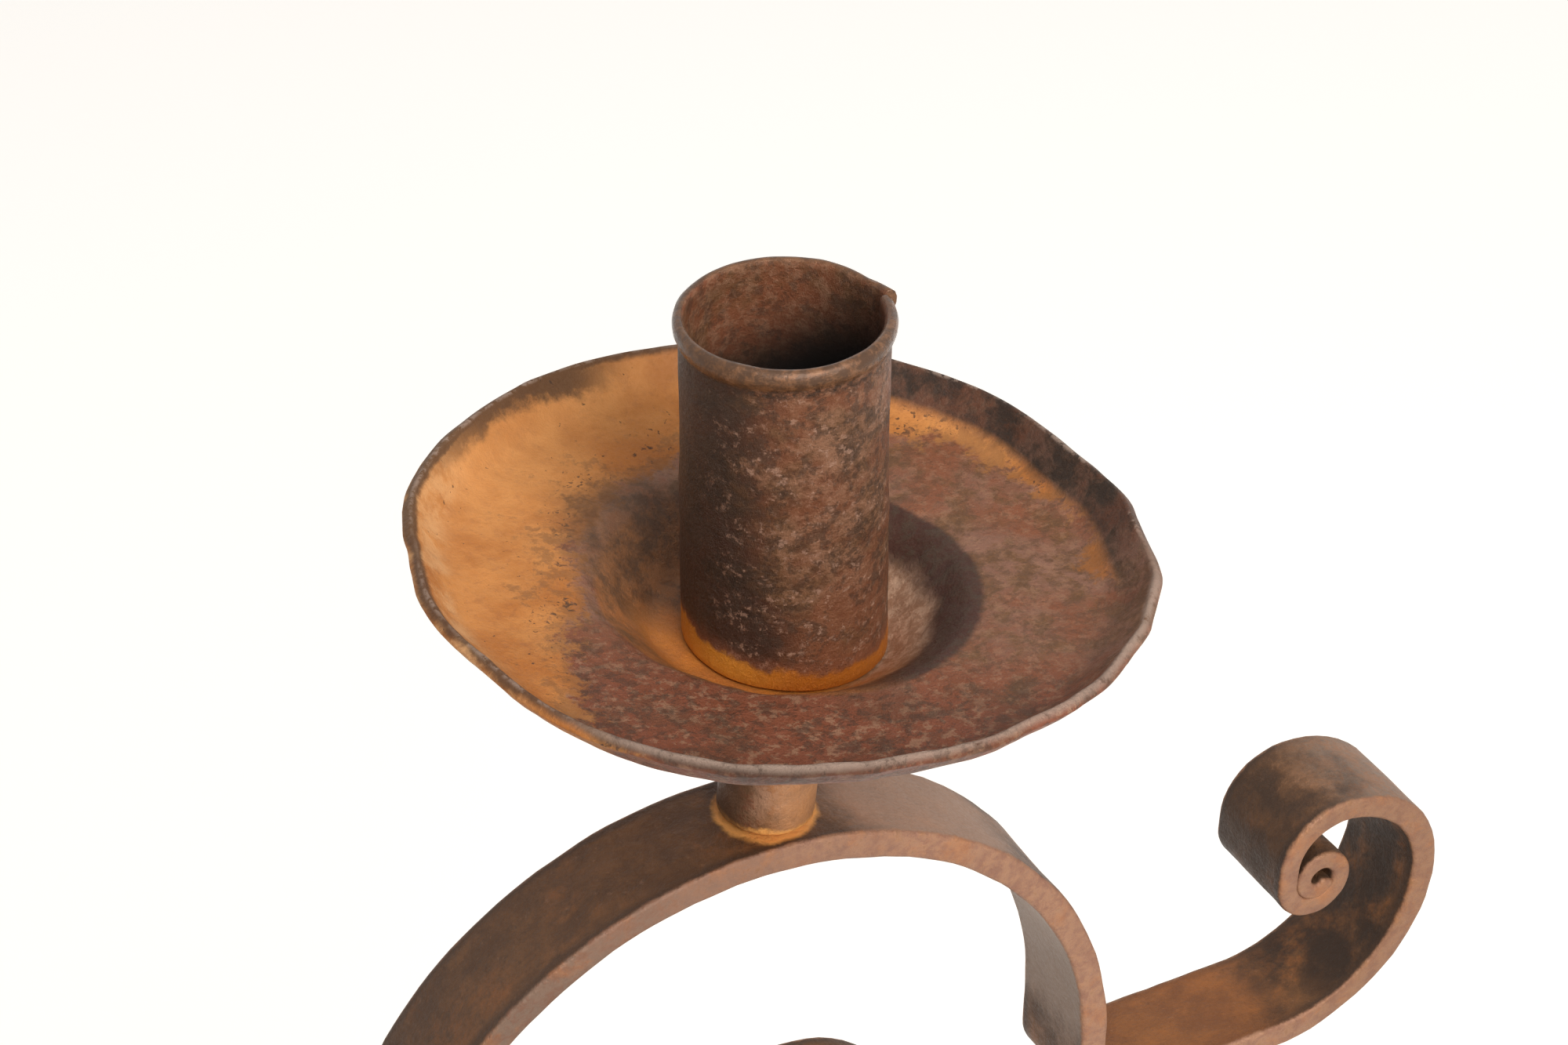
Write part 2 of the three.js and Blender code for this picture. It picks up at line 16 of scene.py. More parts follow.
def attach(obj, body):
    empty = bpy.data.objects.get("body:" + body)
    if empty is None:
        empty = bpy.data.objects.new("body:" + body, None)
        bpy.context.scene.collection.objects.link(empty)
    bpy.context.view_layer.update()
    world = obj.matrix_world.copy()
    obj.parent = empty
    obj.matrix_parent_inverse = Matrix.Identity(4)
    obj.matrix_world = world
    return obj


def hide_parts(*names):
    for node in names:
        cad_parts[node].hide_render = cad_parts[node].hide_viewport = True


bl_info = {
    "name": "Wrought Iron Candelabra",
    "version": (1, 0, 0),
    "blender": (4, 5, 0),
    "location": "3D View > Sidebar > Candelabra",
    "description": "Forges a three-light candelabra from flat bar, sheet and round bar",
    "category": "Add Mesh",
}

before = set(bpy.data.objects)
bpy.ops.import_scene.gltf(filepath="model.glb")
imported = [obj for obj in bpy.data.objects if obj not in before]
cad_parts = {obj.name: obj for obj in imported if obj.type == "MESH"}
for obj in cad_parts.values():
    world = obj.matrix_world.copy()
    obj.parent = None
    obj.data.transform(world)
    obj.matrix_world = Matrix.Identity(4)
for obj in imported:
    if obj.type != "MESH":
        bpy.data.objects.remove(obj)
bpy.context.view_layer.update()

SIDES = (("right", 0.0), ("left", 180.0))
LEGS = (("right", 0.0), ("back", 90.0), ("left", 180.0), ("front", -90.0))

# A length, or a change, that counts as nothing
SPECK = 1e-6

# Degrees between two cuts in a bend, and between two radii of a rolled eye
BEND_STEP, EYE_STEP = 9, 20

# Where the seams of the side cups and the middle cup open, and how far the middle pan is turned, in degrees
SIDE_SEAM, MIDDLE_SEAM, MIDDLE_TURN = -7.0, 110.0, 115.0

# Hammer marks of each piece: how wide they are, how deep, and the level that leaves the metal in place
MARKS = {
    "bar": ((0.016, 0.0005, 0.64), (0.006, 0.0003, 0.66)),
    "collar": ((0.006, 0.0005, 0.70), (0.0025, 0.0002, 0.70)),
    "column": ((0.012, 0.0004, 1.0),),
    "stem": ((0.006, 0.0003, 1.0),),
    "rivet": ((0.004, 0.0005, 0.75),),
    "cup": ((0.009, 0.00035, 0.72),),
}

# Dents of a pan: how wide they are, and their share of the pan's own depth of dents
PAN_DENTS = ((0.009, 1.0), (0.0035, 0.35))

# Waves round a pan's rim, each with its number of crests, its height and the angle of one crest
PAN_WAVES = ((2, 0.00072, 100), (3, 0.00029, -99), (4, 0.00046, -172), (6, 0.0001, -91))

# Knocks in a pan's rim, each with its angle, how far it pushes outwards and its half width in degrees
PAN_KNOCKS = (
    (25, 0.0006, 11), (-7, 0.0007, 6), (-31, 0.0005, 5), (-52, -0.0004, 6),
    (-76, -0.0003, 7), (52, 0.0004, 6), (120, -0.0003, 8), (146, 0.0003, 6),
    (164, -0.0006, 6), (178, 0.0004, 5), (196, -0.0003, 6),
)

# Tints that are purer than any shade of the finish, as linear light. Small shares are blended in.
TINTS = {
    "black": (0.0, 0.0, 0.0),
    "maroon": (0.12, 0.026, 0.012),
    "oxblood": (0.22, 0.048, 0.020),
    "honey": (0.85, 0.40, 0.04),
    "flame": (1.0, 0.50, 0.14),
    "apricot": (1.0, 0.55, 0.22),
    "sand": (1.0, 0.7, 0.5),
    "cream": (1.0, 0.8, 0.5),
    "blush": (1.0, 0.7, 0.6),
    "shell": (1.0, 0.8, 0.7),
    "chalk": (1.0, 0.85, 0.75),
}

# Places on the right arm that its finish knows, measured from the centre of the arch
ARCH_SHOULDER = Vector((0.029, 0, 0.0485))
OUTER_FOOT = Vector((0.045, 0, 0.0145))
OUTER_RUN = Vector((0.069, 0, -0.0095))

# The stage's floor and the spot that its lamps are turned to
FLOOR_SIZE = 30
LIT_SPOT = (0.15, 0, 0.32)


# Sizes and colours


def span(name, description, default):
    return FloatProperty(
        name=name, description=description, default=default, precision=5, unit="LENGTH", subtype="DISTANCE"
    )


def angle(name, description, degrees):
    return FloatProperty(
        name=name, description=description, default=math.radians(degrees), unit="ROTATION", subtype="ANGLE"
    )


def tint(name, description, shade):
    """A colour property whose default is given as it looks on a screen, from 0 to 255."""
    value = [((c / 255 + 0.055) / 1.055) ** 2.4 for c in shade]
    return FloatVectorProperty(
        name=name, description=description, default=value, size=3, min=0.0, max=1.0, subtype="COLOR"
    )


class CandelabraBar(bpy.types.PropertyGroup):
    width: span("Width", "Width of every flat bar", 0.016)
    thick: span("Thickness", "Thickness of a bar before it is drawn out", 0.0042)
    scroll_thick: span("Scroll thickness", "Thickness where a rolled eye begins", 0.0034)
    tip_thick: span("Tip thickness", "Thickness at a bar's very end", 0.0027)
    corner: span("Corner", "Radius of the worn corners", 0.0007)
    eye_hole: span("Eye hole", "Radius left open in a rolled eye", 0.0002)
    eye_lap: angle("Eye lap", "How far an eye laps inside itself past one turn", 150)
    turn_gap: span("Turn gap", "Gap between an eye's turns, which are pressed together below 0", -0.0005)
    seat_gap: span("Seat gap", "Gap between two faces that rest on each other", 0.0003)
    tab: span("Tab", "Straight length riveted to the column", 0.034)
    tab_bend: span("Tab bend", "Radius of the bend at a tab", 0.006)
    tight_bend: span("Tight bend", "Radius of the bend at the foot of an arch", 0.005)
    step: span("Step", "Length of bar between two cuts across it", 0.002)
    cuts: IntProperty(name="Cuts", description="Strips across a bar's width", default=12, min=2)


class CandelabraArm(bpy.types.PropertyGroup):
    height: span("Height", "Middle line of the level run above the table", 0.235)
    arch_radius: span("Arch radius", "Radius of the arch", 0.0515)
    arch_reach: span("Arch reach", "From the column's axis to the arch's centre", 0.143)
    arch_leg: span("Arch leg", "Straight stretch at each foot of the arch", 0.0075)
    outer_run: span("Outer run", "Level run outside the arch", 0.0260)
    sweep: span("Sweep", "Radius of the scroll's first quarter", 0.023)
    crest: span("Crest", "Radius of the scroll's second quarter", 0.0155)
    neck: span("Neck", "Radius of the scroll's third quarter", 0.008)
    eye_stem: span("Eye stem", "Straight stretch before the eye", 0.0025)


class CandelabraBracket(bpy.types.PropertyGroup):
    shoulder: span("Shoulder", "Radius from the column up to the arm", 0.054)
    collar: span("Collar", "Length of the collar", 0.009)
    collar_room: span("Collar room", "Straight bar past each side of the collar", 0.0015)
    collar_wall: span("Collar wall", "Thickness of the collar", 0.0024)
    collar_soft: span("Collar soft", "Radius of the collar's beaten corners", 0.0009)
    collar_grain: span("Collar grain", "Size of the collar's faces once it is remeshed", 0.0003)
    lead: span("Lead", "Radius that turns the volute upwards", 0.033)
    side: span("Side", "Radius of the volute's outer side", 0.026)
    crest: span("Crest", "Radius of the volute's top", 0.02)
    back: span("Back", "Radius of the volute's inner side", 0.015)
    belly: span("Belly", "Radius of the volute's second bottom", 0.0105)
    heart: span("Heart", "Radius of the volute's last quarter", 0.007)
    volute_out: span("Volute out", "Volute's centre outside the arch's", 0.0085)
    volute_drop: span("Volute drop", "Volute's centre below the arch's", 0.0171)
    eye_stem: span("Eye stem", "Straight stretch before the volute's eye", 0.0005)


class CandelabraLeg(bpy.types.PropertyGroup):
    height: span("Height", "Middle line of the shoulder above the table", 0.076)
    shoulder: span("Shoulder", "Level stretch beside the column", 0.008)
    arch: span("Arch", "Radius of the leg's quarter arch", 0.044)
    foot: span("Foot", "Level stretch on the table", 0.0158)
    toe: span("Toe", "Radius of the toe's first quarter", 0.0125)
    toe_crest: span("Toe crest", "Radius over the toe's top", 0.0085)
    toe_neck: span("Toe neck", "Radius into the toe's eye", 0.0056)
    eye_stem: span("Eye stem", "Straight stretch before the toe's eye", 0.0005)


class CandelabraLight(bpy.types.PropertyGroup):
    lean: angle("Lean", "How far a side light leans outwards", 5.2)
    tip: angle("Tip", "How far a side light leans to the front", 1.1)
    rise: span("Rise", "Middle pan's floor above the side pans' floors", 0.06)
    stem_radius: span("Stem radius", "Radius of the spacer under a pan", 0.0063)
    stem: span("Stem", "Length of the spacer under a pan", 0.0247)
    tenon: span("Tenon", "Radius of the tenon through a pan", 0.003)
    head: span("Head", "Radius of a tenon's head", 0.0052)
    head_height: span("Head height", "Height of a tenon's head", 0.0024)
    cup_radius: span("Cup radius", "Outer radius of a cup", 0.0122)
    cup_wall: span("Cup wall", "Sheet of a cup", 0.001)
    cup_height: span("Cup height", "Height of a cup", 0.045)
    cup_floor: span("Cup floor", "Thickness of the disc in a cup", 0.002)
    bead: span("Bead", "Height of the bead at a cup's mouth", 0.003)
    bead_out: span("Bead out", "How far the bead stands out", 0.00065)
    turned_edge: span("Turned edge", "Radius of the softened edges of stems and the neck", 0.0005)
    cup_edge: span("Cup edge", "Radius of the softened edges of a cup's seam and foot", 0.0002)
    floor_edge: span("Floor edge", "Radius of the softened edges of a cup's floor", 0.0003)
    seam: span("Seam", "Gap left in a cup's seam", 0.0006)
    seam_lip: span("Seam lip", "How far the seam's cut end stands out", 0.0011)
    foot_flare: span("Foot flare", "How far a cup spreads at its foot", 0.0004)
    upright: angle("Upright", "How far a side cup is bent back from its light's lean", 5.7)


class CandelabraPan(bpy.types.PropertyGroup):
    radius: span("Radius", "Radius of a pan at its rim", 0.0442)
    sheet: span("Sheet", "Thickness of a pan", 0.0015)
    edge: span("Edge", "Radius of a pan's softened edges", 0.0004)
    floor: span("Floor", "Radius of the well's flat floor", 0.0145)
    well: span("Well", "Radius of the well's edge", 0.0235)
    depth: span("Depth", "Depth of the well", 0.0074)
    band: span("Band", "Radius where the rim turns up", 0.039)
    band_rise: span("Band rise", "Rise from the well's edge to the rim's start", 0.0015)
    rim_rise: span("Rim rise", "Height of the upturned rim", 0.0051)
    hole_x: span("Hole X", "The hole's place off the pan's centre, across", 0.0013)
    hole_y: span("Hole Y", "The hole's place off the pan's centre, front to back", -0.00115)
    smooth: span("Smooth", "Radius that the hammer spares round the hole", 0.0125)
    fade: span("Fade", "How far outside that radius the dents reach their full depth", 0.004)
    dents: span("Dents", "Depth of the hammer's dents", 0.0007)


class CandelabraColumn(bpy.types.PropertyGroup):
    side: span("Side", "Width of the square column", 0.016)
    chamfer: span("Chamfer", "Width of the column's chamfers", 0.0012)
    foot: span("Foot", "Height where the point begins", 0.058)
    point: span("Point", "Length of the blunt point", 0.006)
    point_side: span("Point side", "Width of the blunt point's end", 0.007)
    neck: span("Neck", "Length of the round neck", 0.015)
    rivet: span("Rivet", "Radius of a rivet", 0.0026)
    rivet_head: span("Rivet head", "Radius of a rivet's head", 0.0046)
    rivet_height: span("Rivet height", "Height of a rivet's head", 0.0024)
    rivet_flat: span("Rivet flat", "Radius of the flat on a rivet's head", 0.0008)
    pitch: span("Pitch", "Between two rivets in a tab", 0.017)
    step: span("Step", "Front pair of leg rivets below the side pair", 0.007)


class CandelabraFinish(bpy.types.PropertyGroup):
    # Soot, and also painted shade deep in the cups, on their shaded sides and on the pans' shaded walls.
    soot: tint("Soot", "Blackest places, deep in a cup", (24, 17, 13))
    # Also painted shade on the pans' walls, in the wells and under the cups' beads.
    char: tint("Char", "Black residue and the deepest fire scale", (66, 48, 36))
    scale: tint("Fire scale", "Dark skin left by the forge", (86, 59, 39))
    umber: tint("Umber", "Brown bloom over the scale", (116, 80, 51))
    plum: tint("Plum", "Purple-brown of old handled iron", (138, 98, 79))
    russet: tint("Russet", "Red-brown rust under the bloom", (132, 78, 50))
    rust: tint("Rust", "Orange rust", (178, 110, 51))
    ochre: tint("Ochre", "Light dusty rust", (202, 136, 74))
    amber: tint("Amber", "Bright rust where water stood", (186, 108, 28))
    # Also painted highlight on the lit fronts of the stems and cups, on the arches' shoulders and on the
    # scrolls' crests.
    worn: tint("Worn", "Rubbed edges and narrow faces", (162, 121, 94))
    # Grey bloom, and also painted sheen on the scrolls' crests and the arches' inner faces.
    ash: tint("Ash", "Grey bloom on faces that aren't rubbed", (142, 118, 101))


class CandelabraStage(bpy.types.PropertyGroup):
    lens: FloatProperty(name="Lens", description="Focal length in millimetres", default=77.4, min=1.0)
    camera: FloatVectorProperty(
        name="Camera",
        description="Where the camera stands",
        default=(0.00058, -0.29058, 0.56885),
        subtype="TRANSLATION",
    )
    pitch: angle("Pitch", "How far the camera looks down", 34.6)
    swing: angle("Swing", "Which way the camera looks, from straight back", -27.3)
    floor: tint("Floor", "Colour of the floor", (232, 228, 222))
    ambient: FloatProperty(
        name="Ambient", description="Strength of the light from all round", default=0.30, min=0.0
    )
    key: FloatProperty(name="Key", description="Watts of the lamp at the front", default=17.0, min=0.0)
    top: FloatProperty(name="Top", description="Watts of the lamp overhead", default=3.0, min=0.0)


GROUPS = {
    "bar": CandelabraBar,
    "arm": CandelabraArm,
    "bracket": CandelabraBracket,
    "leg": CandelabraLeg,
    "light": CandelabraLight,
    "pan": CandelabraPan,
    "column": CandelabraColumn,
    "finish": CandelabraFinish,
    "stage": CandelabraStage,
}


def setting(group):
    return getattr(bpy.context.scene, f"candelabra_{group}")


# Levels and places that several pieces share


def seat_x():
    """Middle line of a tab beside the column."""
    bar = setting("bar")
    return setting("column").side / 2 + bar.seat_gap + bar.thick / 2


def contact_z():
    """Middle line of a bracket where it runs under its arm."""
    bar = setting("bar")
    return setting("arm").height - bar.thick - bar.seat_gap


def arch_z():
    """Height of an arch's centre."""
    return setting("arm").height + setting("bar").tight_bend + setting("arm").arch_leg


def rivet_levels():
    """Heights of the two rivets in each pair of tabs."""
    bar, arm, leg, column = (setting(g) for g in ("bar", "arm", "leg", "column"))
    margin = (bar.tab - column.pitch) / 2
    arm_top = arm.height + bar.tab_bend + bar.tab - margin
    bracket_low = contact_z() - setting("bracket").shoulder - bar.tab + margin
    leg_top = leg.height + bar.tab_bend + bar.tab - (bar.tab - column.pitch - column.step) / 2
    return {
        "arm_rivet": (arm_top, arm_top - column.pitch),
        "bracket_rivet": (bracket_low, bracket_low + column.pitch),
        "side_leg_rivet": (leg_top, leg_top - column.pitch),
        "front_leg_rivet": (leg_top - column.step, leg_top - column.step - column.pitch),
    }


def rivet_reach():
    """From the column's axis to the underside of a rivet's head."""
    return setting("column").side / 2 + setting("bar").thick + 2 * setting("bar").seat_gap


def pan_floor():
    """Top of a pan's floor above the face that its stem stands on."""
    return setting("light").stem + 2 * setting("bar").seat_gap + setting("pan").sheet


def cup_foot():
    """Underside of a cup and its floor above the face that its stem stands on."""
    return pan_floor() + setting("bar").seat_gap


def head_foot():
    """Underside of a tenon's head above the face that its stem stands on."""
    return cup_foot() + setting("bar").seat_gap + setting("light").cup_floor


def side_light(turn=0.0):
    """Place and lean of a side light, whose Z runs up the stem from the arch's crown."""
    light, arm, bar = setting("light"), setting("arm"), setting("bar")
    reach = arm.arch_radius + bar.thick / 2
    crown = Vector(
        (arm.arch_reach + reach * math.sin(light.lean), 0, arch_z() + reach * math.cos(light.lean))
    )
    return (
        about_z(turn)
        @ Matrix.Translation(crown)
        @ Matrix.Rotation(light.tip, 4, "X")
        @ Matrix.Rotation(light.lean, 4, "Y")
    )


def middle_seat():
    """The height that the middle light's stem would stand on."""
    side = side_light().to_translation().z + pan_floor() * math.cos(setting("light").lean)
    return side + setting("light").rise - pan_floor()


def lights():
    """Each light's name, its place, its pan's turn, its cup's seam and how far its cup is bent upright."""
    upright = setting("light").upright
    for side, turn in SIDES:
        yield side, side_light(turn), 0.0, SIDE_SEAM, upright
    yield "middle", Matrix.Translation((0, 0, middle_seat())), MIDDLE_TURN, MIDDLE_SEAM, 0.0


# Bench tools


def clamp(value):
    return min(1, max(0, value))


def clear_bench():
    if bpy.context.object and bpy.context.object.mode != "OBJECT":
        bpy.ops.object.mode_set(mode="OBJECT")
    bpy.ops.object.select_all(action="DESELECT")


def take(piece):
    """Make this piece the only one selected."""
    clear_bench()
    piece.select_set(True)
    bpy.context.view_layer.objects.active = piece


def begin(name):
    """Name the primitive that was just added, settle it and open it for shaping."""
    piece = bpy.context.object
    piece.name = piece.data.name = name
    bpy.ops.object.transform_apply(location=True, rotation=True, scale=True)
    bpy.ops.object.mode_set(mode="EDIT")
    bpy.context.tool_settings.mesh_select_mode = (True, False, False)
    return piece


def pick(piece, test, kind="verts"):
    """Select only the corners, or the faces, that pass the test."""
    mesh = bmesh.from_edit_mesh(piece.data)
    for part in (*mesh.verts, *mesh.edges, *mesh.faces):
        part.select = False
    for part in getattr(mesh, kind):
        if test(part):
            part.select_set(True)
    if kind == "verts":
        mesh.select_flush(True)
    bmesh.update_edit_mesh(piece.data)


def draw(move, about, turn=0.0, grow=1.0):
    """Extrude what is selected, then turn and resize its new end about a point."""
    bpy.ops.mesh.extrude_region_move(TRANSFORM_OT_translate={"value": move})
    if abs(turn) > SPECK:
        bpy.ops.transform.rotate(value=turn, orient_axis="Y", center_override=about)
    if abs(grow - 1) > SPECK:
        bpy.ops.transform.resize(value=(grow, grow, grow), center_override=about)


def face_out():
    bpy.ops.mesh.select_all(action="SELECT")
    bpy.ops.mesh.remove_doubles(threshold=SPECK)
    bpy.ops.mesh.normals_make_consistent(inside=False)
    bpy.ops.object.mode_set(mode="OBJECT")


def work(piece, kind, **values):
    """Put a modifier on a piece and apply it."""
    take(piece)
    tool = piece.modifiers.new(kind.title(), kind)
    for key, value in values.items():
        setattr(tool, key, value)
    bpy.ops.object.modifier_apply(modifier=tool.name)


def hammer(piece, size, depth, level, octaves=2, group=""):
    """Beat marks of this size and depth into a piece, or into a group of its vertices."""
    marks = bpy.data.textures.new(f"{piece.name}_marks", "CLOUDS")
    marks.noise_scale = size
    marks.noise_depth = octaves
    values = {"texture": marks, "texture_coords": "LOCAL", "strength": depth, "mid_level": level}
    work(piece, "DISPLACE", vertex_group=group, **values)


def hammer_all_over(piece, kind):
    """Beat in the marks of this kind of piece, coarse ones first."""
    for size, depth, level in MARKS[kind]:
        hammer(piece, size, depth, level)


def ease(piece, width, segments=3, limit=50, clamped=True):
    """Round the corners that are sharper than the limit."""
    values = {"width": width, "segments": segments, "use_clamp_overlap": clamped}
    work(piece, "BEVEL", limit_method="ANGLE", angle_limit=math.radians(limit), **values)


def smooth(piece, limit=40):
    take(piece)
    bpy.ops.object.shade_smooth_by_angle(angle=math.radians(limit))


def reshape(piece, rule):
    """Move every vertex by a rule from its old place to its new one."""
    for vert in piece.data.vertices:
        vert.co = rule(vert.co)


def note(piece, rule=lambda co: co):
    """Store every vertex's lay for the finish to read: its own place before the piece is bent or set."""
    layer = piece.data.attributes.new("lay", "FLOAT_VECTOR", "POINT")
    for vert, value in zip(piece.data.vertices, layer.data):
        value.vector = rule(vert.co)


def settle(piece, place):
    """Carry a piece to its place and leave its object at the origin."""
    take(piece)
    piece.matrix_world = place
    bpy.ops.object.transform_apply(location=True, rotation=True, scale=True)


def twin(piece, name, place):
    """Copy a piece, with its own mesh, to another place."""
    take(piece)
    bpy.ops.object.duplicate(linked=False)
    copy = bpy.context.object
    copy.name = copy.data.name = name
    settle(copy, place)
    return copy


def about_z(degrees):
    return Matrix.Rotation(math.radians(degrees), 4, "Z")


def hand_over(piece, node, kind):
    """Ride on the frame, stand in for the solid, and wear the finish of this kind, made once."""
    slot, make_finish = KINDS[kind]
    piece.data.materials.clear()
    piece.data.materials.append(bpy.data.materials.get(f"{kind}_iron") or make_finish())
    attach(piece, "root")
    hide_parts(node)


# Flat bar


class Course:
    """Middle line of a flat bar in the XZ plane, walked from one end to the other."""

    def __init__(self, x, z, heading):
        bar = setting("bar")
        self.bar = bar
        self.spots = [(x, z, math.radians(heading), 0.0)]
        self.marks = [(0.0, bar.thick)]

    def walk(self, length, turn):
        x, z, heading, run = self.spots[-1]
        middle = heading + turn / 2
        self.spots.append(
            (x + length * math.cos(middle), z + length * math.sin(middle), heading + turn, run + length)
        )

    def straight(self, length):
        steps = max(1, round(length / self.bar.step))
        for _ in range(steps):
            self.walk(length / steps, 0.0)
        return self

    def bend(self, degrees, radius, end_radius=None):
        """Turn left for a positive angle, on a radius that changes evenly to the end one."""
        end_radius = radius if end_radius is None else end_radius
        turn = math.radians(degrees)
        steps = math.ceil(max(abs(turn) * max(radius, end_radius) / self.bar.step, abs(degrees) / BEND_STEP))
        for i in range(steps):
            r = radius + (end_radius - radius) * (i + 0.5) / steps
            self.walk(2 * r * math.sin(abs(turn) / steps / 2), turn / steps)
        return self

    def thick(self, value):
        self.marks.append((self.spots[-1][3], value))
        return self

    def eye(self, stem):
        """Roll the end up: each turn lies on the one inside it, and the bar thins towards its tip."""
        bar = self.bar
        whole = 2 * math.pi + bar.eye_lap
        self.straight(stem).thick(bar.scroll_thick)
        radius = bar.eye_hole + bar.tip_thick / 2
        radius += (bar.scroll_thick + bar.tip_thick + 2 * bar.turn_gap) / 2 * whole / (2 * math.pi)
        steps = round(math.degrees(whole) / EYE_STEP)
        for i in range(steps):
            thick = bar.scroll_thick + (bar.tip_thick - bar.scroll_thick) * (i + 0.5) / steps
            drop = (thick + bar.turn_gap) * whole / (2 * math.pi) / steps
            self.bend(math.degrees(whole) / steps, radius, radius - drop)
            radius -= drop
        room_for_corner = bar.corner * 1.2
        return self.straight(room_for_corner).thick(bar.tip_thick)

    def thick_at(self, run):
        for (run0, thick0), (run1, thick1) in zip(self.marks, self.marks[1:]):
            if run < run1:
                return thick0 + (thick1 - thick0) * (run - run0) / (run1 - run0)
        return self.marks[-1][1]

    def along(self):
        """A rule that gives a vertex its place along, across and through the bar."""
        tree = KDTree(len(self.spots))
        for i, (x, z, _, _) in enumerate(self.spots):
            tree.insert((x, 0, z), i)
        tree.balance()

        def rule(co):
            _, i, _ = tree.find((co.x, 0, co.z))
            x, z, heading, run = self.spots[i]
            dx, dz = co.x - x, co.z - z
            return (
                run + dx * math.cos(heading) + dz * math.sin(heading),
                co.y,
                dz * math.cos(heading) - dx * math.sin(heading),
            )

        return rule


def forge_bar(name, course):
    """Draw a flat bar along its course: a strip is extruded step by step, then drawn out across."""
    bar = setting("bar")
    clear_bench()
    x, z, heading, _ = course.spots[0]
    ahead = Vector((math.cos(heading), 0, math.sin(heading)))
    start = Vector((x, -bar.width / 2, z))
    bpy.ops.mesh.primitive_plane_add(
        size=bar.thick, location=start + ahead * bar.thick / 2, rotation=(math.pi / 2, 0, 0)
    )
    piece = begin(name)
    front = start + ahead * bar.thick
    pick(piece, lambda vert: (vert.co - front).dot(ahead) > -SPECK)
    place, facing, thick = front, heading, bar.thick
    past_first = bar.thick * 1.2
    for x, z, heading, run in course.spots:
        if run > past_first:
            spot, next_thick = Vector((x, -bar.width / 2, z)), course.thick_at(run)
            draw(spot - place, spot, heading - facing, next_thick / thick)
            place, facing, thick = spot, heading, next_thick
    bpy.ops.mesh.select_all(action="SELECT")
    for _ in range(bar.cuts):
        bpy.ops.mesh.extrude_region_move(TRANSFORM_OT_translate={"value": (0, bar.width / bar.cuts, 0)})
    face_out()
    ease(piece, bar.corner, clamped=False)
    note(piece, course.along())
    hammer_all_over(piece, "bar")
    smooth(piece)
    return piece


def arm_course():
    bar, arm = setting("bar"), setting("arm")
    start = seat_x()
    inner_run = arm.arch_reach - arm.arch_radius - bar.tight_bend - start - bar.tab_bend
    course = Course(start, arm.height + bar.tab_bend + bar.tab, -90).straight(bar.tab)
    course.bend(90, bar.tab_bend).straight(inner_run).bend(90, bar.tight_bend).straight(arm.arch_leg)
    course.bend(-180, arm.arch_radius).straight(arm.arch_leg).bend(90, bar.tight_bend)
    course.straight(arm.outer_run).bend(90, arm.sweep).thick(bar.thick)
    course.bend(90, arm.crest).bend(90, arm.neck)
    return course.eye(arm.eye_stem)


def bracket_course():
    bar, arm, bracket = setting("bar"), setting("arm"), setting("bracket")
    contact = bracket.collar + 2 * bracket.collar_room
    start_x = seat_x() + bracket.shoulder + contact
    end_x = arm.arch_reach + bracket.volute_out + bracket.crest - bracket.side
    end_z = arch_z() - bracket.volute_drop - bracket.side
    along, drop = end_x - start_x, contact_z() - end_z
    swing = 2 * math.atan2(drop, along)
    dip = along / math.sin(swing) - bracket.lead
    course = Course(seat_x(), contact_z() - bracket.shoulder - bar.tab, 90).straight(bar.tab)
    course.bend(-90, bracket.shoulder).straight(contact).thick(bar.thick)
    course.bend(-math.degrees(swing), dip).bend(math.degrees(swing), bracket.lead)
    for radius in (bracket.side, bracket.crest, bracket.back, bracket.belly, bracket.heart):
        course.bend(90, radius)
    return course.eye(bracket.eye_stem)


def leg_course():
    bar, leg = setting("bar"), setting("leg")
    drop = leg.height - leg.arch - bar.tight_bend - bar.thick / 2
    course = Course(seat_x(), leg.height + bar.tab_bend + bar.tab, -90).straight(bar.tab)
    course.bend(90, bar.tab_bend).straight(leg.shoulder).bend(-90, leg.arch).straight(drop)
    course.bend(90, bar.tight_bend).straight(leg.foot).thick(bar.thick)
    course.bend(90, leg.toe).bend(110, leg.toe_crest).bend(90, leg.toe_neck)
    return course.eye(leg.eye_stem)


# Finishes: every metal is laid up coat by coat, and each mask is named for what it shows


class Tree:
    """Adds and joins the nodes of a material, or of the air round the stage."""

    def __init__(self, owner):
        owner.use_nodes = True
        self.tree = owner.node_tree

    def add(self, kind, ins=(), **values):
        node = self.tree.nodes.new(f"ShaderNode{kind}")
        for key, value in values.items():
            setattr(node, key, value)
        for key, value in dict(ins).items():
            self.feed(node.inputs[key], value)
        return node

    def feed(self, socket, value):
        if isinstance(value, bpy.types.NodeSocket):
            self.tree.links.new(value, socket)
        else:
            socket.default_value = value

    def sums(self, operation, a, b=0.0, c=0.0):
        return self.add("Math", {0: a, 1: b, 2: c}, operation=operation).outputs[0]

    def seen(self):
        """1 where the camera looks, straight or in a mirror or through glass, and 0 for other light."""
        rays = self.add("LightPath").outputs
        seen = self.sums("MAXIMUM", rays["Is Camera Ray"], rays["Is Glossy Ray"])
        return self.sums("MAXIMUM", seen, rays["Is Transmission Ray"])


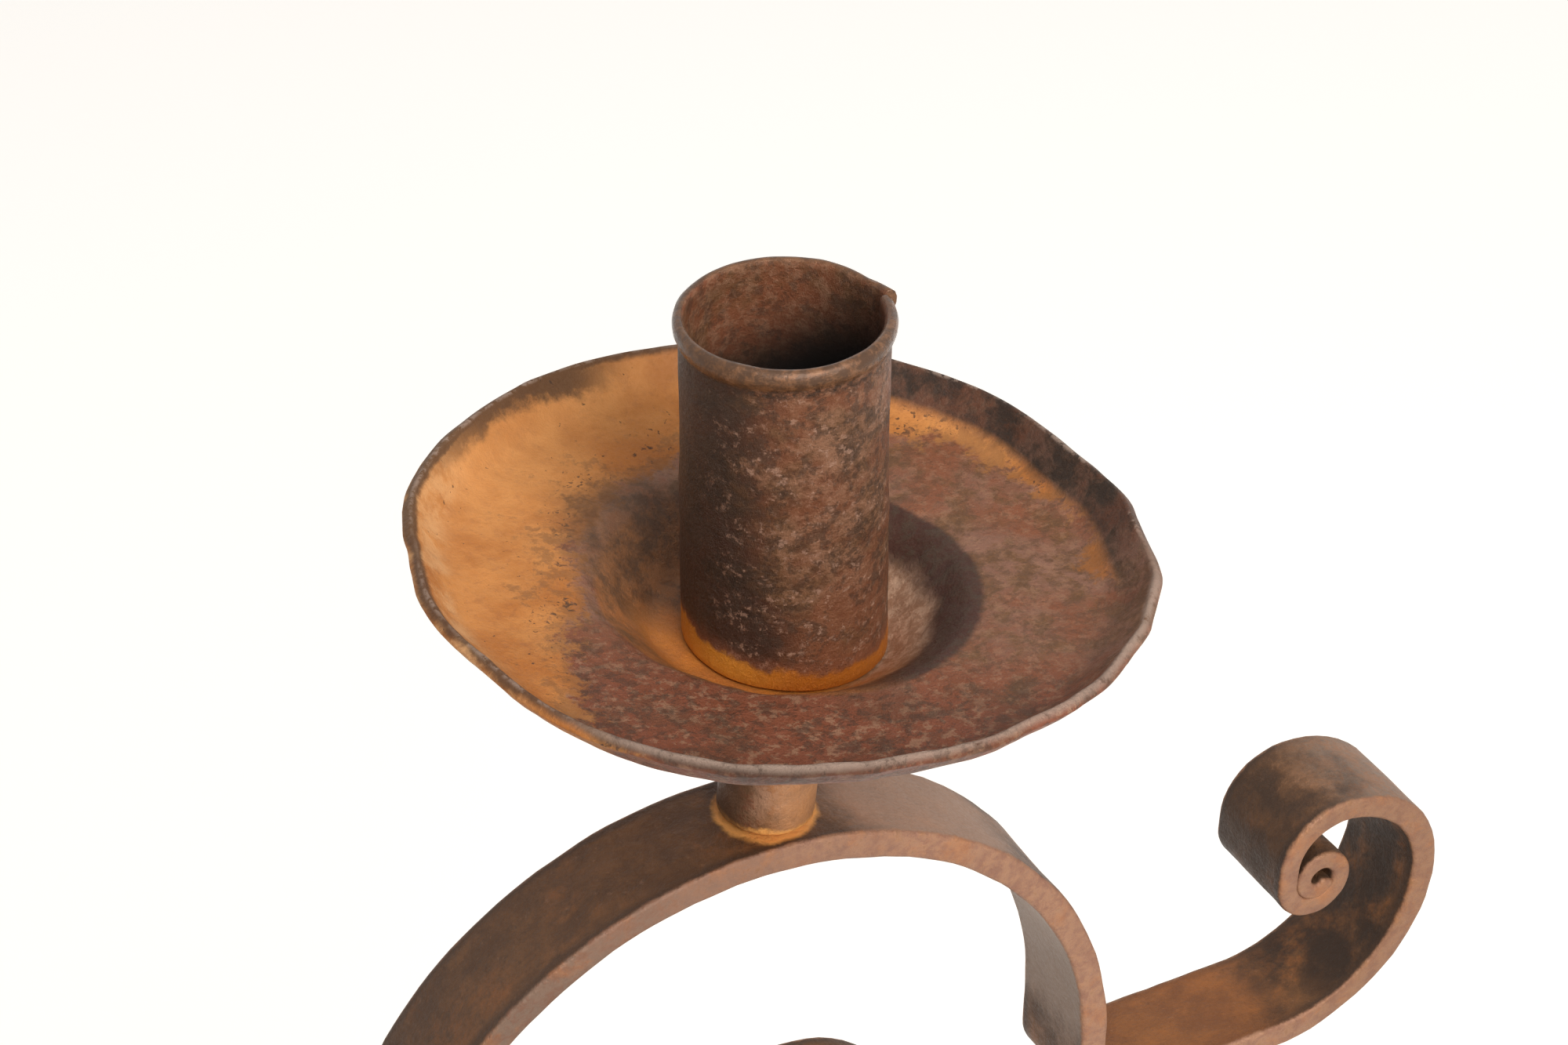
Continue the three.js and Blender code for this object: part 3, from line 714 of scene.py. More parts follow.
class Finish(Tree):
    """A metal's node tree. Place is where a spot is on the whole candelabra, and lay where on its piece."""

    def __init__(self, name):
        self.material = bpy.data.materials.new(name)
        super().__init__(self.material)
        self.place = self.add("TexCoord").outputs["Object"]
        self.lay = self.add("Attribute", attribute_name="lay").outputs["Vector"]
        self.grain = self.noise(0.0005, 4, 0.75)
        self.colour = self.normal = None

    def noise(self, size, detail, rough, swirl=0.0, place=None, shift=0.0):
        """Cloudy pattern whose patches are about this many metres across."""
        place = place or self.place
        if shift:
            ins = {"Vector": place, "Location": (shift, shift * 0.7, -shift)}
            place = self.add("Mapping", ins).outputs["Vector"]
        ins = {"Vector": place, "Scale": 1 / size, "Detail": detail, "Roughness": rough, "Distortion": swirl}
        return self.add("TexNoise", ins).outputs["Fac"]

    def ramp(self, value, low, high):
        """0 below the low level, 1 above the high one, eased in between."""
        ins = {"Value": value, "From Min": low, "From Max": high}
        return self.add("MapRange", ins, interpolation_type="SMOOTHSTEP").outputs["Result"]

    def times(self, share, other):
        return self.sums("MULTIPLY", share, other)

    def either(self, share, other):
        return self.sums("MAXIMUM", share, other)

    def without(self, share):
        return self.sums("SUBTRACT", 1.0, share)

    def drift(self, value, pattern, amount):
        """A value moved by a pattern, this far where the pattern is 1."""
        return self.sums("MULTIPLY_ADD", pattern, amount, value)

    def fray(self, value, pattern, amount):
        """A value moved to both sides by a pattern."""
        return self.drift(value, self.sums("SUBTRACT", pattern, 0.5), amount)

    def along(self, x, y, z, place=None):
        """How far a spot lies in a direction, in its lay or in another place."""
        ins = {0: place or self.lay, 1: (x, y, z)}
        return self.add("VectorMath", ins, operation="DOT_PRODUCT").outputs["Value"]

    def far(self, place, centre, scale=(1, 1, 1)):
        """How far a spot lies from a centre."""
        moved = self.add("VectorMath", {0: place, 1: centre}, operation="SUBTRACT").outputs[0]
        scaled = self.add("VectorMath", {0: moved, 1: scale}, operation="MULTIPLY").outputs[0]
        return self.add("VectorMath", {0: scaled}, operation="LENGTH").outputs["Value"]

    def radius(self, x=0.0, y=0.0):
        """How far a spot lies from an upright axis in its lay."""
        return self.far(self.lay, (x, y, 0), (1, 1, 0))

    def facing(self, x, y, radius):
        """1 on the side of a round piece that this direction points to, and -1 on the other side."""
        return self.sums("DIVIDE", self.along(x, y, 0), radius)

    def level(self, share, under, over):
        """Mix two values."""
        value_a, value_b = 2, 3
        return self.add("Mix", {0: share, value_a: under, value_b: over}, data_type="FLOAT").outputs[0]

    def blend(self, share, under, over):
        """Mix two colours, each a node's or the name of a shade."""
        under, over = (shade(value) if isinstance(value, str) else value for value in (under, over))
        colour_a, colour_b, colour_out = 6, 7, 2
        ins = {0: share, colour_a: under, colour_b: over}
        return self.add("Mix", ins, data_type="RGBA").outputs[colour_out]

    def glaze(self, under, *coats):
        """Lay coats over a colour, each with its share, its strength and its own colour."""
        for share, strength, over in coats:
            share = share if strength == 1 else self.times(share, strength)
            under = self.blend(share, under, over)
        return under

    def coat(self, share, strength, over):
        self.colour = self.glaze(self.colour, (share, strength, over))

    def relief(self, height, depth, strength):
        ins = {"Height": height, "Distance": depth, "Strength": strength}
        if self.normal:
            ins["Normal"] = self.normal
        self.normal = self.add("Bump", ins).outputs["Normal"]

    def sheen(self, smoothest, roughest):
        return self.level(self.ramp(self.grain, 0.35, 0.7), smoothest, roughest)

    def close(self, roughness, gloss=0.35):
        shader = self.tree.nodes["Principled BSDF"].inputs
        self.feed(shader["Base Color"], self.colour)
        self.feed(shader["Roughness"], roughness)
        self.feed(shader["Metallic"], 0.25)
        self.feed(shader["Specular IOR Level"], gloss)
        self.feed(shader["Normal"], self.normal)
        return self.material


def shade(name):
    """A shade of the finish or a pure tint, by its name."""
    return (*(TINTS.get(name) or getattr(setting("finish"), name)), 1.0)


def bar_finish():
    """Flat bar: umber and russet clouds over fire scale, char along the edges, rubbed narrow faces, soot and
    painted shade in the scroll, painted highlight and sheen on the arch and the scroll's crest.
    """
    iron = Finish("bar_iron")
    clouds = iron.noise(0.018, 4, 0.6)
    patches = iron.noise(0.007, 7, 0.68, 0.2, shift=0.31)
    mottle = iron.noise(0.0020, 6, 0.75, 0.2)
    reach = iron.sums("ABSOLUTE", iron.along(1, 0, 0, iron.place))
    either_side = iron.add("VectorMath", {0: iron.place}, operation="ABSOLUTE").outputs[0]
    across = iron.sums("ABSOLUTE", iron.along(0, 1, 0))
    bar, arm = setting("bar"), setting("arm")
    half = bar.width / 2
    arch = Vector((arm.arch_reach, 0, arch_z()))
    scroll = arm.arch_reach + arm.arch_radius + bar.tight_bend + arm.outer_run

    iron.colour = iron.blend(iron.ramp(patches, 0.34, 0.64), "scale", "umber")
    iron.coat(iron.ramp(mottle, 0.54, 0.66), 0.4, "char")
    rusty = iron.ramp(iron.drift(iron.times(patches, 0.45), clouds, 0.55), 0.48, 0.62)
    rusty = iron.times(rusty, iron.ramp(mottle, 0.62, 0.42))
    iron.coat(rusty, 0.50, iron.blend(0.4, "rust", "russet"))
    flecks = iron.ramp(iron.noise(0.0011, 5, 0.7, shift=0.77), 0.60, 0.70)
    iron.coat(flecks, 0.35, "worn")
    dull = iron.ramp(iron.drift(reach, clouds, -0.05), 0.14, 0.07)
    iron.coat(dull, 0.45, "char")
    # Soot over the scroll, with painted shade on the faces inside its curl.
    sooty_and_shaded = iron.ramp(iron.fray(reach, clouds, 0.03), scroll + 0.0015, scroll + 0.0145)
    sooty_and_shaded = iron.times(sooty_and_shaded, iron.ramp(patches, 0.75, 0.40))
    iron.coat(sooty_and_shaded, 0.92, iron.blend(0.45, "char", "soot"))
    singed = iron.ramp(iron.drift(across, patches, 0.005), half + 0.0004, half + 0.0016)
    iron.coat(singed, 0.8, "char")
    # Painted highlight on the arch's shoulder, where it faces the lamp.
    shoulder_highlight = iron.ramp(iron.drift(iron.far(either_side, arch + ARCH_SHOULDER), patches, -0.008), 0.016, 0.006)
    iron.coat(shoulder_highlight, 0.75, iron.blend(0.10, "worn", "chalk"))
    tail = iron.ramp(iron.drift(iron.far(either_side, arch + OUTER_RUN), patches, -0.014), 0.014, 0.004)
    iron.coat(tail, 0.5, iron.blend(patches, "russet", "rust"))

    outer = iron.ramp(iron.along(0, 0, 1), 0.0006, -0.0006)
    above_run = iron.ramp(iron.along(0, 0, 1, iron.place), arm.height + 0.013, arm.height + 0.021)
    outer = iron.times(outer, above_run)
    round_crest = iron.fray(reach, patches, 0.022)
    # Painted sheen and highlight on the scroll's outer faces, up at its crest.
    crest = iron.times(outer, iron.ramp(round_crest, scroll + 0.0025, scroll + 0.0165))
    iron.coat(crest, 0.75, iron.blend(iron.ramp(mottle, 0.40, 0.60), "ash", "worn"))
    burnt = iron.ramp(round_crest, scroll + 0.0085, scroll - 0.0035)
    burnt = iron.times(burnt, iron.ramp(reach, scroll - 0.0205, scroll - 0.0105))
    iron.coat(iron.times(outer, burnt), 0.75, iron.blend(0.35, "char", "soot"))
    # Painted sheen on the inner face of the arch's outer leg.
    inner = iron.ramp(iron.drift(iron.far(either_side, arch + OUTER_FOOT), patches, -0.020), 0.012, 0.0)
    iron.coat(inner, 0.85, iron.blend(0.12, "ash", "chalk"))
    seat = side_light().to_translation()
    # Orange rust round the stem's foot, painted brighter and stronger at the front as painted light.
    ring = iron.ramp(iron.drift(iron.far(either_side, seat), patches, -0.003), 0.0058, 0.0047)
    near_side = iron.fray(iron.along(0.25, -0.97, 0, iron.place), mottle, 0.006)
    ring = iron.times(ring, iron.level(iron.ramp(near_side, 0.0, 0.005), 0.25, 1.0))
    iron.coat(ring, 0.9, iron.blend(0.7, "ochre", "flame"))

    flank = iron.ramp(iron.fray(across, mottle, 0.0012), half - 0.0009, half - 0.0003)
    rubbed = iron.glaze(
        iron.blend(iron.level(dull, iron.ramp(mottle, 0.36, 0.64), 0.15), "plum", "worn"),
        (dull, 0.9, iron.blend(iron.ramp(mottle, 0.44, 0.60), "ash", "plum")),
        (dull, 0.52, "char"),
        (iron.ramp(iron.drift(reach, clouds, 0.05), scroll + 0.0095, scroll + 0.0345), 0.35, "umber"),
        (iron.ramp(patches, 0.50, 0.66), 0.30, "rust"),
        (iron.ramp(mottle, 0.57, 0.66), 0.35, "umber"),
    )
    iron.coat(flank, 1, rubbed)
    iron.relief(patches, 0.0014, 0.5)
    iron.relief(mottle, 0.00030, 0.6)
    iron.relief(iron.grain, 0.00014, 0.6)
    return iron.close(iron.sheen(0.42, 0.60))


def pan_finish():
    """Pan: orange rust at the back left, plum at the front right, painted shade on the right walls of the
    well and the rim, a dark stain with a painted shadow of the cup, amber at its foot.
    """
    iron = Finish("pan_iron")
    clouds = iron.noise(0.012, 4, 0.6)
    patches = iron.noise(0.0048, 7, 0.70, 0.2, shift=0.17)
    mottle = iron.noise(0.0018, 7, 0.76, 0.2)
    wobble = iron.sums("ADD", iron.times(clouds, 0.5), iron.times(patches, 0.5))
    wobble = iron.sums("SUBTRACT", wobble, 0.5)
    out, high = iron.radius(), iron.along(0, 0, 1)
    pan, cup = setting("pan"), setting("light").cup_radius
    top = pan.depth + pan.band_rise + pan.rim_rise
    toward_rust = iron.facing(-0.906, 0.423, out)
    round_front = iron.facing(-0.423, -0.906, out)

    iron.colour = iron.blend(iron.ramp(patches, 0.40, 0.58), "umber", "plum")
    front = iron.ramp(iron.along(-0.50, -0.86, 0), 0.008, 0.028)
    red = iron.drift(iron.drift(iron.times(patches, 0.4), clouds, 0.6), front, 0.16)
    iron.coat(iron.ramp(red, 0.46, 0.60), 0.9, iron.blend(iron.times(front, 0.5), "russet", "oxblood"))
    # Light flecks: worn grains and painted sparkle, more of them at the front.
    flecks = iron.ramp(iron.noise(0.0016, 6, 0.75, shift=0.71), 0.51, 0.58)
    iron.coat(flecks, iron.level(front, 0.35, 0.75), "worn")
    gloom = iron.ramp(iron.sums("ADD", clouds, iron.times(patches, 0.6)), 0.84, 0.74)
    iron.coat(iron.times(gloom, front), 0.40, "scale")
    pits = iron.ramp(iron.drift(mottle, patches, -0.3), 0.34, 0.42)
    iron.coat(pits, iron.level(front, 0.45, 0.60), iron.blend(front, "scale", "char"))

    pull = iron.level(iron.ramp(round_front, 0.0, 0.6), 0.0068, 0.036)
    start = iron.drift(pan.well + 0.0017, iron.without(toward_rust), pull)
    start = iron.fray(iron.drift(start, wobble, 0.026), mottle, 0.009)
    past = iron.sums("SUBTRACT", out, start)
    walls = iron.times(iron.ramp(high, top - 0.0046, top - 0.0032), iron.ramp(toward_rust, 0.45, 0.0))
    orange = iron.times(iron.ramp(past, -0.0012, 0.0014), iron.without(walls))
    edge = iron.ramp(iron.along(-0.97, 0.26, 0), 0.034, 0.041)
    edge = iron.times(edge, iron.ramp(high, top - 0.0052, top - 0.0032))
    fringe = iron.fray(iron.fray(past, patches, 0.05), mottle, 0.05)
    rust = iron.glaze(
        iron.blend(iron.ramp(clouds, 0.38, 0.62), "rust", "ochre"),
        (edge, iron.ramp(patches, 0.60, 0.40), iron.blend(0.2, "ochre", "cream")),
        (iron.ramp(mottle, 0.50, 0.66), 0.30, "russet"),
        (iron.ramp(fringe, 0.0045, -0.0010), 0.50, "umber"),
        (iron.ramp(iron.along(-0.5, 0.87, 0), 0.026, 0.042), 0.35, iron.blend(0.4, "ochre", "apricot")),
    )
    # Painted shade on the rim's walls at the right and back right, which face away from the lamp.
    walls = iron.times(walls, iron.ramp(iron.along(-0.45, 0.89, 0), -0.040, -0.022))
    iron.coat(walls, iron.level(iron.ramp(patches, 0.38, 0.62), 0.95, 0.6), iron.blend(0.75, "char", "soot"))
    iron.coat(orange, 1, rust)
    near = iron.times(iron.ramp(past, 0.010, 0.0), iron.ramp(patches, 0.42, 0.60))
    specks = iron.drift(iron.noise(0.0009, 3, 0.6, 0.4, shift=0.53), near, 0.16)
    iron.coat(iron.ramp(specks, 0.69, 0.74), iron.times(orange, 0.85), "char")

    # Painted shade on the well's right wall, which faces away from the lamp; its left wall keeps plain umber
    # and rust.
    well = iron.ramp(iron.drift(out, wobble, 0.003), pan.well + 0.0002, pan.well - 0.0008)
    left = iron.ramp(iron.along(-0.97, -0.1, 0), -0.004, 0.012)
    gloomy = iron.blend(iron.ramp(mottle, 0.44, 0.58), iron.blend(0.3, "soot", "maroon"), "char")
    walled = iron.blend(left, gloomy, iron.blend(iron.ramp(patches, 0.35, 0.65), "umber", "rust"))
    iron.coat(well, iron.level(left, 0.92, 0.70), walled)
    # A dark stain at the cup's back left, which also stands for the cup's soft painted shadow.
    stain_and_shadow = iron.fray(iron.drift(iron.radius(-0.0125, 0.0175), wobble, 0.014), mottle, 0.008)
    smudge_and_shadow = iron.blend(iron.ramp(patches, 0.40, 0.58), "char", "umber")
    iron.coat(iron.ramp(stain_and_shadow, 0.0130, 0.0065), 0.62, smudge_and_shadow)
    foot = iron.ramp(iron.drift(out, wobble, 0.006), cup + 0.0066, cup + 0.0036)
    dusty = iron.times(foot, iron.ramp(iron.along(0.95, -0.3, 0), -0.004, 0.004))
    powder = iron.blend(iron.ramp(mottle, 0.42, 0.58), iron.blend(0.35, "worn", "sand"), "worn")
    iron.coat(dusty, 0.95, powder)
    pool = iron.ramp(iron.drift(out, wobble, 0.008), cup + 0.0078, cup + 0.0013)
    wet = iron.times(pool, iron.ramp(iron.along(-0.75, -0.66, 0), -0.001, 0.010))
    iron.coat(wet, 1, iron.blend(iron.ramp(patches, 0.4, 0.6), iron.blend(0.35, "amber", "ochre"), "rust"))

    back = iron.ramp(iron.along(-0.34, 0.94, 0), 0.036, 0.044)
    back = iron.times(back, iron.ramp(iron.along(1, 0, 0), 0.002, -0.010))
    smoky = iron.times(iron.ramp(iron.drift(high, wobble, 0.010), top - 0.0028, top - 0.0012), back)
    brim = iron.ramp(iron.drift(high, wobble, 0.003), top - 0.0012, top - 0.0004)
    brim = iron.times(brim, iron.ramp(toward_rust, -0.6, 0.2))
    iron.coat(iron.either(smoky, brim), 0.85, "char")
    handled = iron.ramp(high, top - 0.0009, top - 0.0002)
    handled = iron.times(handled, iron.ramp(iron.along(0.10, -0.99, 0), 0.014, 0.030))
    handled = iron.times(handled, iron.ramp(mottle, 0.70, 0.50))
    lip = iron.times(iron.ramp(high, top - 0.0004, top), iron.ramp(mottle, 0.54, 0.46))
    iron.coat(iron.either(handled, lip), 0.75, iron.blend(0.16, "ash", "shell"))

    coarse = iron.times(iron.level(orange, 1.0, 0.45), iron.level(front, 0.7, 1.5))
    iron.relief(patches, 0.0007, 0.5)
    iron.relief(mottle, iron.times(coarse, 0.00045), 0.7)
    iron.relief(iron.grain, iron.times(coarse, 0.00018), 0.7)
    return iron.close(iron.sums("ADD", iron.sheen(0.36, 0.58), iron.times(orange, 0.16)))


def cup_finish():
    """Cup: painted shade on the left and deep inside, a dusty plum at the front that is partly rubbed and
    partly painted highlight, and an amber ring at its foot.
    """
    iron = Finish("cup_iron")
    clouds = iron.noise(0.010, 4, 0.6)
    slant = iron.add("Mapping", {"Vector": iron.lay, "Rotation": (0, 0.75, 0), "Scale": (1.0, 1.0, 1.7)})
    streaks = iron.noise(0.0060, 8, 0.72, 0.1, place=slant.outputs["Vector"])
    mottle = iron.noise(0.0016, 7, 0.78, 0.1)
    out, high = iron.radius(), iron.along(0, 0, 1)
    radius, top = setting("light").cup_radius, setting("light").cup_height
    front = iron.facing(0.10, -0.995, out)

    iron.colour = iron.blend(iron.ramp(mottle, 0.42, 0.58), "scale", "umber")
    iron.coat(iron.ramp(clouds, 0.40, 0.56), 0.75, "russet")
    # Painted shade on the left side, away from the lamp, and more towards the foot.
    shaded = iron.fray(iron.facing(-0.95, 0.31, out), clouds, 0.9)
    shaded = iron.drift(shaded, iron.ramp(high, 0.022, 0.008), 0.25)
    iron.coat(iron.ramp(shaded, 0.10, 0.70), 0.8, "soot")
    # A dusty plum at the front: rubbed metal, with painted highlight where the cup faces the lamp.
    rubbed = iron.fray(iron.fray(front, streaks, 2.6), mottle, 2.6)
    rubbed = iron.times(iron.ramp(rubbed, 0.60, 1.50), iron.ramp(high, 0.004, 0.020))
    iron.coat(rubbed, 0.85, iron.blend(0.25, "worn", "russet"))
    pits = iron.ramp(iron.noise(0.0024, 6, 0.75, shift=0.37), 0.50, 0.58)
    iron.coat(pits, 0.6, "char")
    # Pink flecks on the front that faces the lamp: painted sparkle.
    flecks = iron.ramp(iron.noise(0.0010, 5, 0.75, shift=0.19), 0.54, 0.62)
    flecks = iron.times(iron.times(flecks, iron.ramp(front, -0.1, 0.7)), iron.ramp(streaks, 0.42, 0.56))
    iron.coat(flecks, 0.75, iron.blend(0.14, "worn", "blush"))

    inside = iron.ramp(out, radius - 0.0004, radius - 0.0008)
    # Painted shade deep inside the cup, reaching higher on the front right wall, which faces away from the
    # lamp.
    deep = iron.ramp(iron.drift(high, iron.along(0.6, -0.8, 0), -0.5), top - 0.0005, top - 0.013)
    lining = iron.glaze(
        iron.blend(iron.ramp(clouds, 0.42, 0.58), "umber", "russet"),
        (iron.ramp(mottle, 0.46, 0.58), 0.5, "worn"),
        (pits, 0.5, "char"),
        (deep, 1, iron.blend(0.3, "soot", "black")),
    )
    iron.coat(inside, 1, lining)
    # Painted shade in a band under the bead's overhang.
    under_bead = iron.ramp(high, top - 0.0042, top - 0.0034)
    under_bead = iron.times(under_bead, iron.ramp(out, radius - 0.0004, radius - 0.0002))
    iron.coat(under_bead, iron.ramp(mottle, 0.56, 0.44), "char")
    bead = iron.ramp(high, top - 0.0032, top - 0.0022)
    bead = iron.times(bead, iron.ramp(out, radius - 0.0009, radius - 0.0005))
    iron.coat(bead, 0.8, iron.blend(iron.ramp(mottle, 0.42, 0.60), "scale", "umber"))
    left = iron.ramp(iron.along(-0.95, 0.1, 0), 0.002, 0.012)
    ragged = iron.drift(iron.fray(iron.fray(high, clouds, 0.006), mottle, 0.003), left, -0.0012)
    outside = iron.without(inside)
    iron.coat(iron.times(outside, iron.ramp(ragged, 0.0056, 0.0030)), 0.7, "russet")
    # Amber rust ring at the foot; the brighter honey on its left is painted light.
    ring = iron.times(outside, iron.ramp(ragged, 0.0036, 0.0024))
    iron.coat(ring, 1, iron.blend(iron.times(left, 0.5), "amber", "honey"))

    coarse = iron.level(bead, 1.0, 0.15)
    iron.relief(streaks, 0.0005, 0.5)
    iron.relief(mottle, iron.times(coarse, 0.00060), 0.9)
    iron.relief(iron.grain, iron.times(coarse, 0.00025), 0.9)
    rough = iron.drift(iron.sheen(0.32, 0.54), bead, -0.28)
    rough = iron.level(iron.times(inside, iron.ramp(high, top - 0.003, top - 0.013)), rough, 0.9)
    return iron.close(rough, 0.38)


def round_finish():
    """Stems: umber with a painted highlight at the front and painted shade behind, ochre where the foot meets
    the bar, painted brighter at the front.
    """
    iron = Finish("round_iron")
    patches = iron.noise(0.004, 6, 0.7, 0.2)
    mottle = iron.noise(0.0016, 6, 0.76, 0.1)
    high = iron.along(0, 0, 1)
    lit = iron.facing(0.55, -0.84, iron.either(iron.radius(), 0.001))
    lit = iron.fray(lit, mottle, 1.2)

    iron.colour = iron.blend(iron.ramp(patches, 0.38, 0.62), "umber", "worn")
    iron.coat(iron.ramp(mottle, 0.50, 0.60), 0.8, iron.blend(0.3, "russet", "char"))
    # Painted highlight on the side that faces the lamp, then painted shade on the side away from it.
    iron.coat(iron.ramp(lit, 0.25, 1.0), 0.8, iron.blend(patches, "worn", "ochre"))
    iron.coat(iron.ramp(lit, 0.45, -0.2), 0.85, "scale")
    foot = iron.ramp(iron.drift(high, patches, 0.003), 0.0030, 0.0022)
    foot = iron.times(foot, iron.ramp(high, -0.002, -0.001))
    # Ochre rust at the foot, painted brighter towards the lamp.
    foot = iron.times(foot, iron.level(iron.ramp(lit, -0.2, 0.5), 0.25, 1.0))
    iron.coat(foot, 1, iron.blend(mottle, "ochre", "flame"))
    iron.relief(patches, 0.00060, 0.6)
    iron.relief(mottle, 0.00040, 0.8)
    iron.relief(iron.grain, 0.00014, 0.7)
    return iron.close(iron.sheen(0.36, 0.56))


def rivet_finish():
    """Rivets: umber and scale, russet in the dents, char round the head, worn on its crown."""
    iron = Finish("rivet_iron")
    patches = iron.noise(0.0025, 6, 0.7, 0.2)
    mottle = iron.noise(0.0012, 6, 0.76, 0.1)
    iron.colour = iron.blend(iron.ramp(patches, 0.40, 0.60), "umber", "scale")
    iron.coat(iron.ramp(mottle, 0.50, 0.60), 0.6, "russet")
    proud = iron.drift(iron.sums("ABSOLUTE", iron.along(0, 0, 1)), mottle, 0.003)
    column = setting("column")
    top, rim = rivet_reach() + column.rivet_height, column.rivet_head
    iron.coat(iron.ramp(proud, top + 0.0006, top + 0.0016), 0.6, "worn")
    iron.coat(iron.ramp(iron.radius(), rim - 0.0008, rim - 0.0001), 0.6, "char")
    iron.relief(patches, 0.00080, 0.8)
    iron.relief(iron.grain, 0.00014, 0.7)
    return iron.close(iron.sheen(0.36, 0.56))


def floor_finish(colour):
    """Pale floor that reads as white to the eye and still takes a shadow."""
    paper = bpy.data.materials.new("floor_paper")
    tree = Tree(paper)
    shader, output = (tree.tree.nodes[name] for name in ("Principled BSDF", "Material Output"))
    tree.feed(shader.inputs["Base Color"], (*colour, 1.0))
    tree.feed(shader.inputs["Roughness"], 0.9)
    strength = tree.sums("MULTIPLY", tree.seen(), 0.55)
    glow = tree.add("Emission", {"Color": (1.0, 0.985, 0.965, 1.0), "Strength": strength})
    both = tree.add("AddShader", {0: shader.outputs[0], 1: glow.outputs[0]})
    tree.feed(output.inputs["Surface"], both.outputs[0])
    return paper


# Each kind of metal: its slot and its finish
KINDS = {
    "bar": ("iron_bar", bar_finish),
    "round": ("iron_round", round_finish),
    "rivet": ("iron_round", rivet_finish),
    "pan": ("iron_sheet", pan_finish),
    "cup": ("iron_sheet", cup_finish),
}


# Turned and sheet pieces


def turn_up(name, profile, sides, fill="NGON"):
    """A round piece: a disc, or an open ring, is extruded up a profile of (radius, height) pairs."""
    clear_bench()
    radius, z = profile[0]
    bpy.ops.mesh.primitive_circle_add(vertices=sides, radius=radius, fill_type=fill, location=(0, 0, z))
    piece = begin(name)
    bpy.ops.mesh.select_all(action="SELECT")
    for next_radius, next_z in profile[1:]:
        draw((0, 0, next_z - z), (0, 0, next_z), grow=next_radius / radius)
        radius, z = next_radius, next_z
    face_out()
    return piece


def dome(radius, height, flat, z, steps=5):
    """Profile of a headed-over end, from its rim up to the hammered flat."""
    turns = [math.pi / 2 * i / steps for i in range(steps + 1)]
    return [(flat + (radius - flat) * math.cos(t), z + height * math.sin(t)) for t in turns]


def head_profile(z):
    """Profile of a tenon's head that stands on this height."""
    light = setting("light")
    return dome(light.head, light.head_height, light.tenon, z)


def stem_profile(low, high):
    """Spacer with a tenon and a head at each end, between two faces at these heights."""
    light, gap = setting("light"), setting("bar").seat_gap
    under = [(r, 2 * low - z) for r, z in head_profile(low)]
    foot = [(light.tenon, low), (light.tenon, gap), (light.stem_radius, gap)]
    top = [(light.stem_radius, gap + light.stem), (light.tenon, gap + light.stem), (light.tenon, high)]
    return [*reversed(under), *foot, *top, *head_profile(high)]


def pan_profile():
    """A pan from its hole over the sunk well and the band to its upturned rim."""
    pan = setting("pan")
    side, brim, z = pan.well - pan.floor, pan.radius - pan.band, pan.depth + pan.band_rise
    return [
        (setting("light").tenon + setting("bar").seat_gap, 0),
        (pan.floor - 0.0055, 0),
        (pan.floor - 0.0008, 0),
        (pan.floor + 0.0002, 0.00015),
        (pan.floor + side * 0.32, pan.depth * 0.34),
        (pan.floor + side * 0.65, pan.depth * 0.72),
        (pan.well - 0.0009, pan.depth * 0.95),
        (pan.well, pan.depth + 0.0001),
        (pan.well + 0.0009, pan.depth + 0.0002),
        (pan.well + 0.0045, pan.depth + 0.0005),
        (pan.well + 0.0100, pan.depth + 0.0010),
        (pan.band - 0.0012, z - 0.0001),
        (pan.band + 0.0003, z + 0.0002),
        (pan.band + brim * 0.45, z + pan.rim_rise * 0.33),
        (pan.radius - 0.0011, z + pan.rim_rise * 0.74),
        (pan.radius, z + pan.rim_rise),
    ]


def knock_out_of_round(co):
    """Where a pan's spot lands once its rim is uneven and its floor is off centre."""
    pan, tenon = setting("pan"), setting("light").tenon * 1.2
    r, turn = math.hypot(co.x, co.y), math.atan2(co.y, co.x)
    move = sum(size * math.cos(n * turn - math.radians(peak)) for n, size, peak in PAN_WAVES)
    for middle, size, wide in PAN_KNOCKS:
        off = (math.degrees(turn) - middle + 180) % 360 - 180
        move += size * math.exp(-((off / wide) ** 2))
    share = clamp((r - pan.floor) / (pan.radius - pan.floor))
    grow = 1 + move / pan.radius * share * share * (3 - 2 * share)
    loose = clamp((r - tenon) / (pan.floor - tenon))
    return Vector((co.x * grow - pan.hole_x * loose, co.y * grow - pan.hole_y * loose, co.z))


def sink_pan(name):
    """Pan: a ring is drawn out from its hole to its rim, hammered, and given its thickness."""
    pan = setting("pan")
    piece = turn_up(name, pan_profile(), sides=72, fill="NOTHING")
    if piece.data.polygons[0].normal.z < 0:
        piece.data.flip_normals()
    work(piece, "SUBSURF", levels=2, render_levels=2, boundary_smooth="ALL")
    reshape(piece, knock_out_of_round)
    beaten = piece.vertex_groups.new(name="beaten")
    for vert in piece.data.vertices:
        r = math.hypot(vert.co.x, vert.co.y)
        beaten.add([vert.index], clamp((r - pan.smooth) / pan.fade), "REPLACE")
    for size, share in PAN_DENTS:
        hammer(piece, size, pan.dents * share, level=0.5, octaves=1, group="beaten")
    work(piece, "SOLIDIFY", thickness=pan.sheet, offset=-1.0)
    ease(piece, pan.edge)
    note(piece)
    smooth(piece, 60)
    return piece


def cup_wall():
    """A cup's wall step by step: its height, how far it stands out, and its thickness."""
    light = setting("light")
    wall, height, bead, out = light.cup_wall, light.cup_height, light.bead, light.bead_out
    neck = height - bead - 0.0003
    steps = 26
    return [(neck * i / steps, 0.0, wall) for i in range(1, steps + 1)] + [
        (height - bead * 0.86, out * 0.25, wall + out * 0.5),
        (height - bead * 0.62, out * 0.46, wall + out * 0.92),
        (height - bead * 0.36, out * 0.5, wall + out),
        (height - bead * 0.14, out * 0.38, wall + out * 0.6),
        (height, out * 0.3, wall * 0.5),
    ]


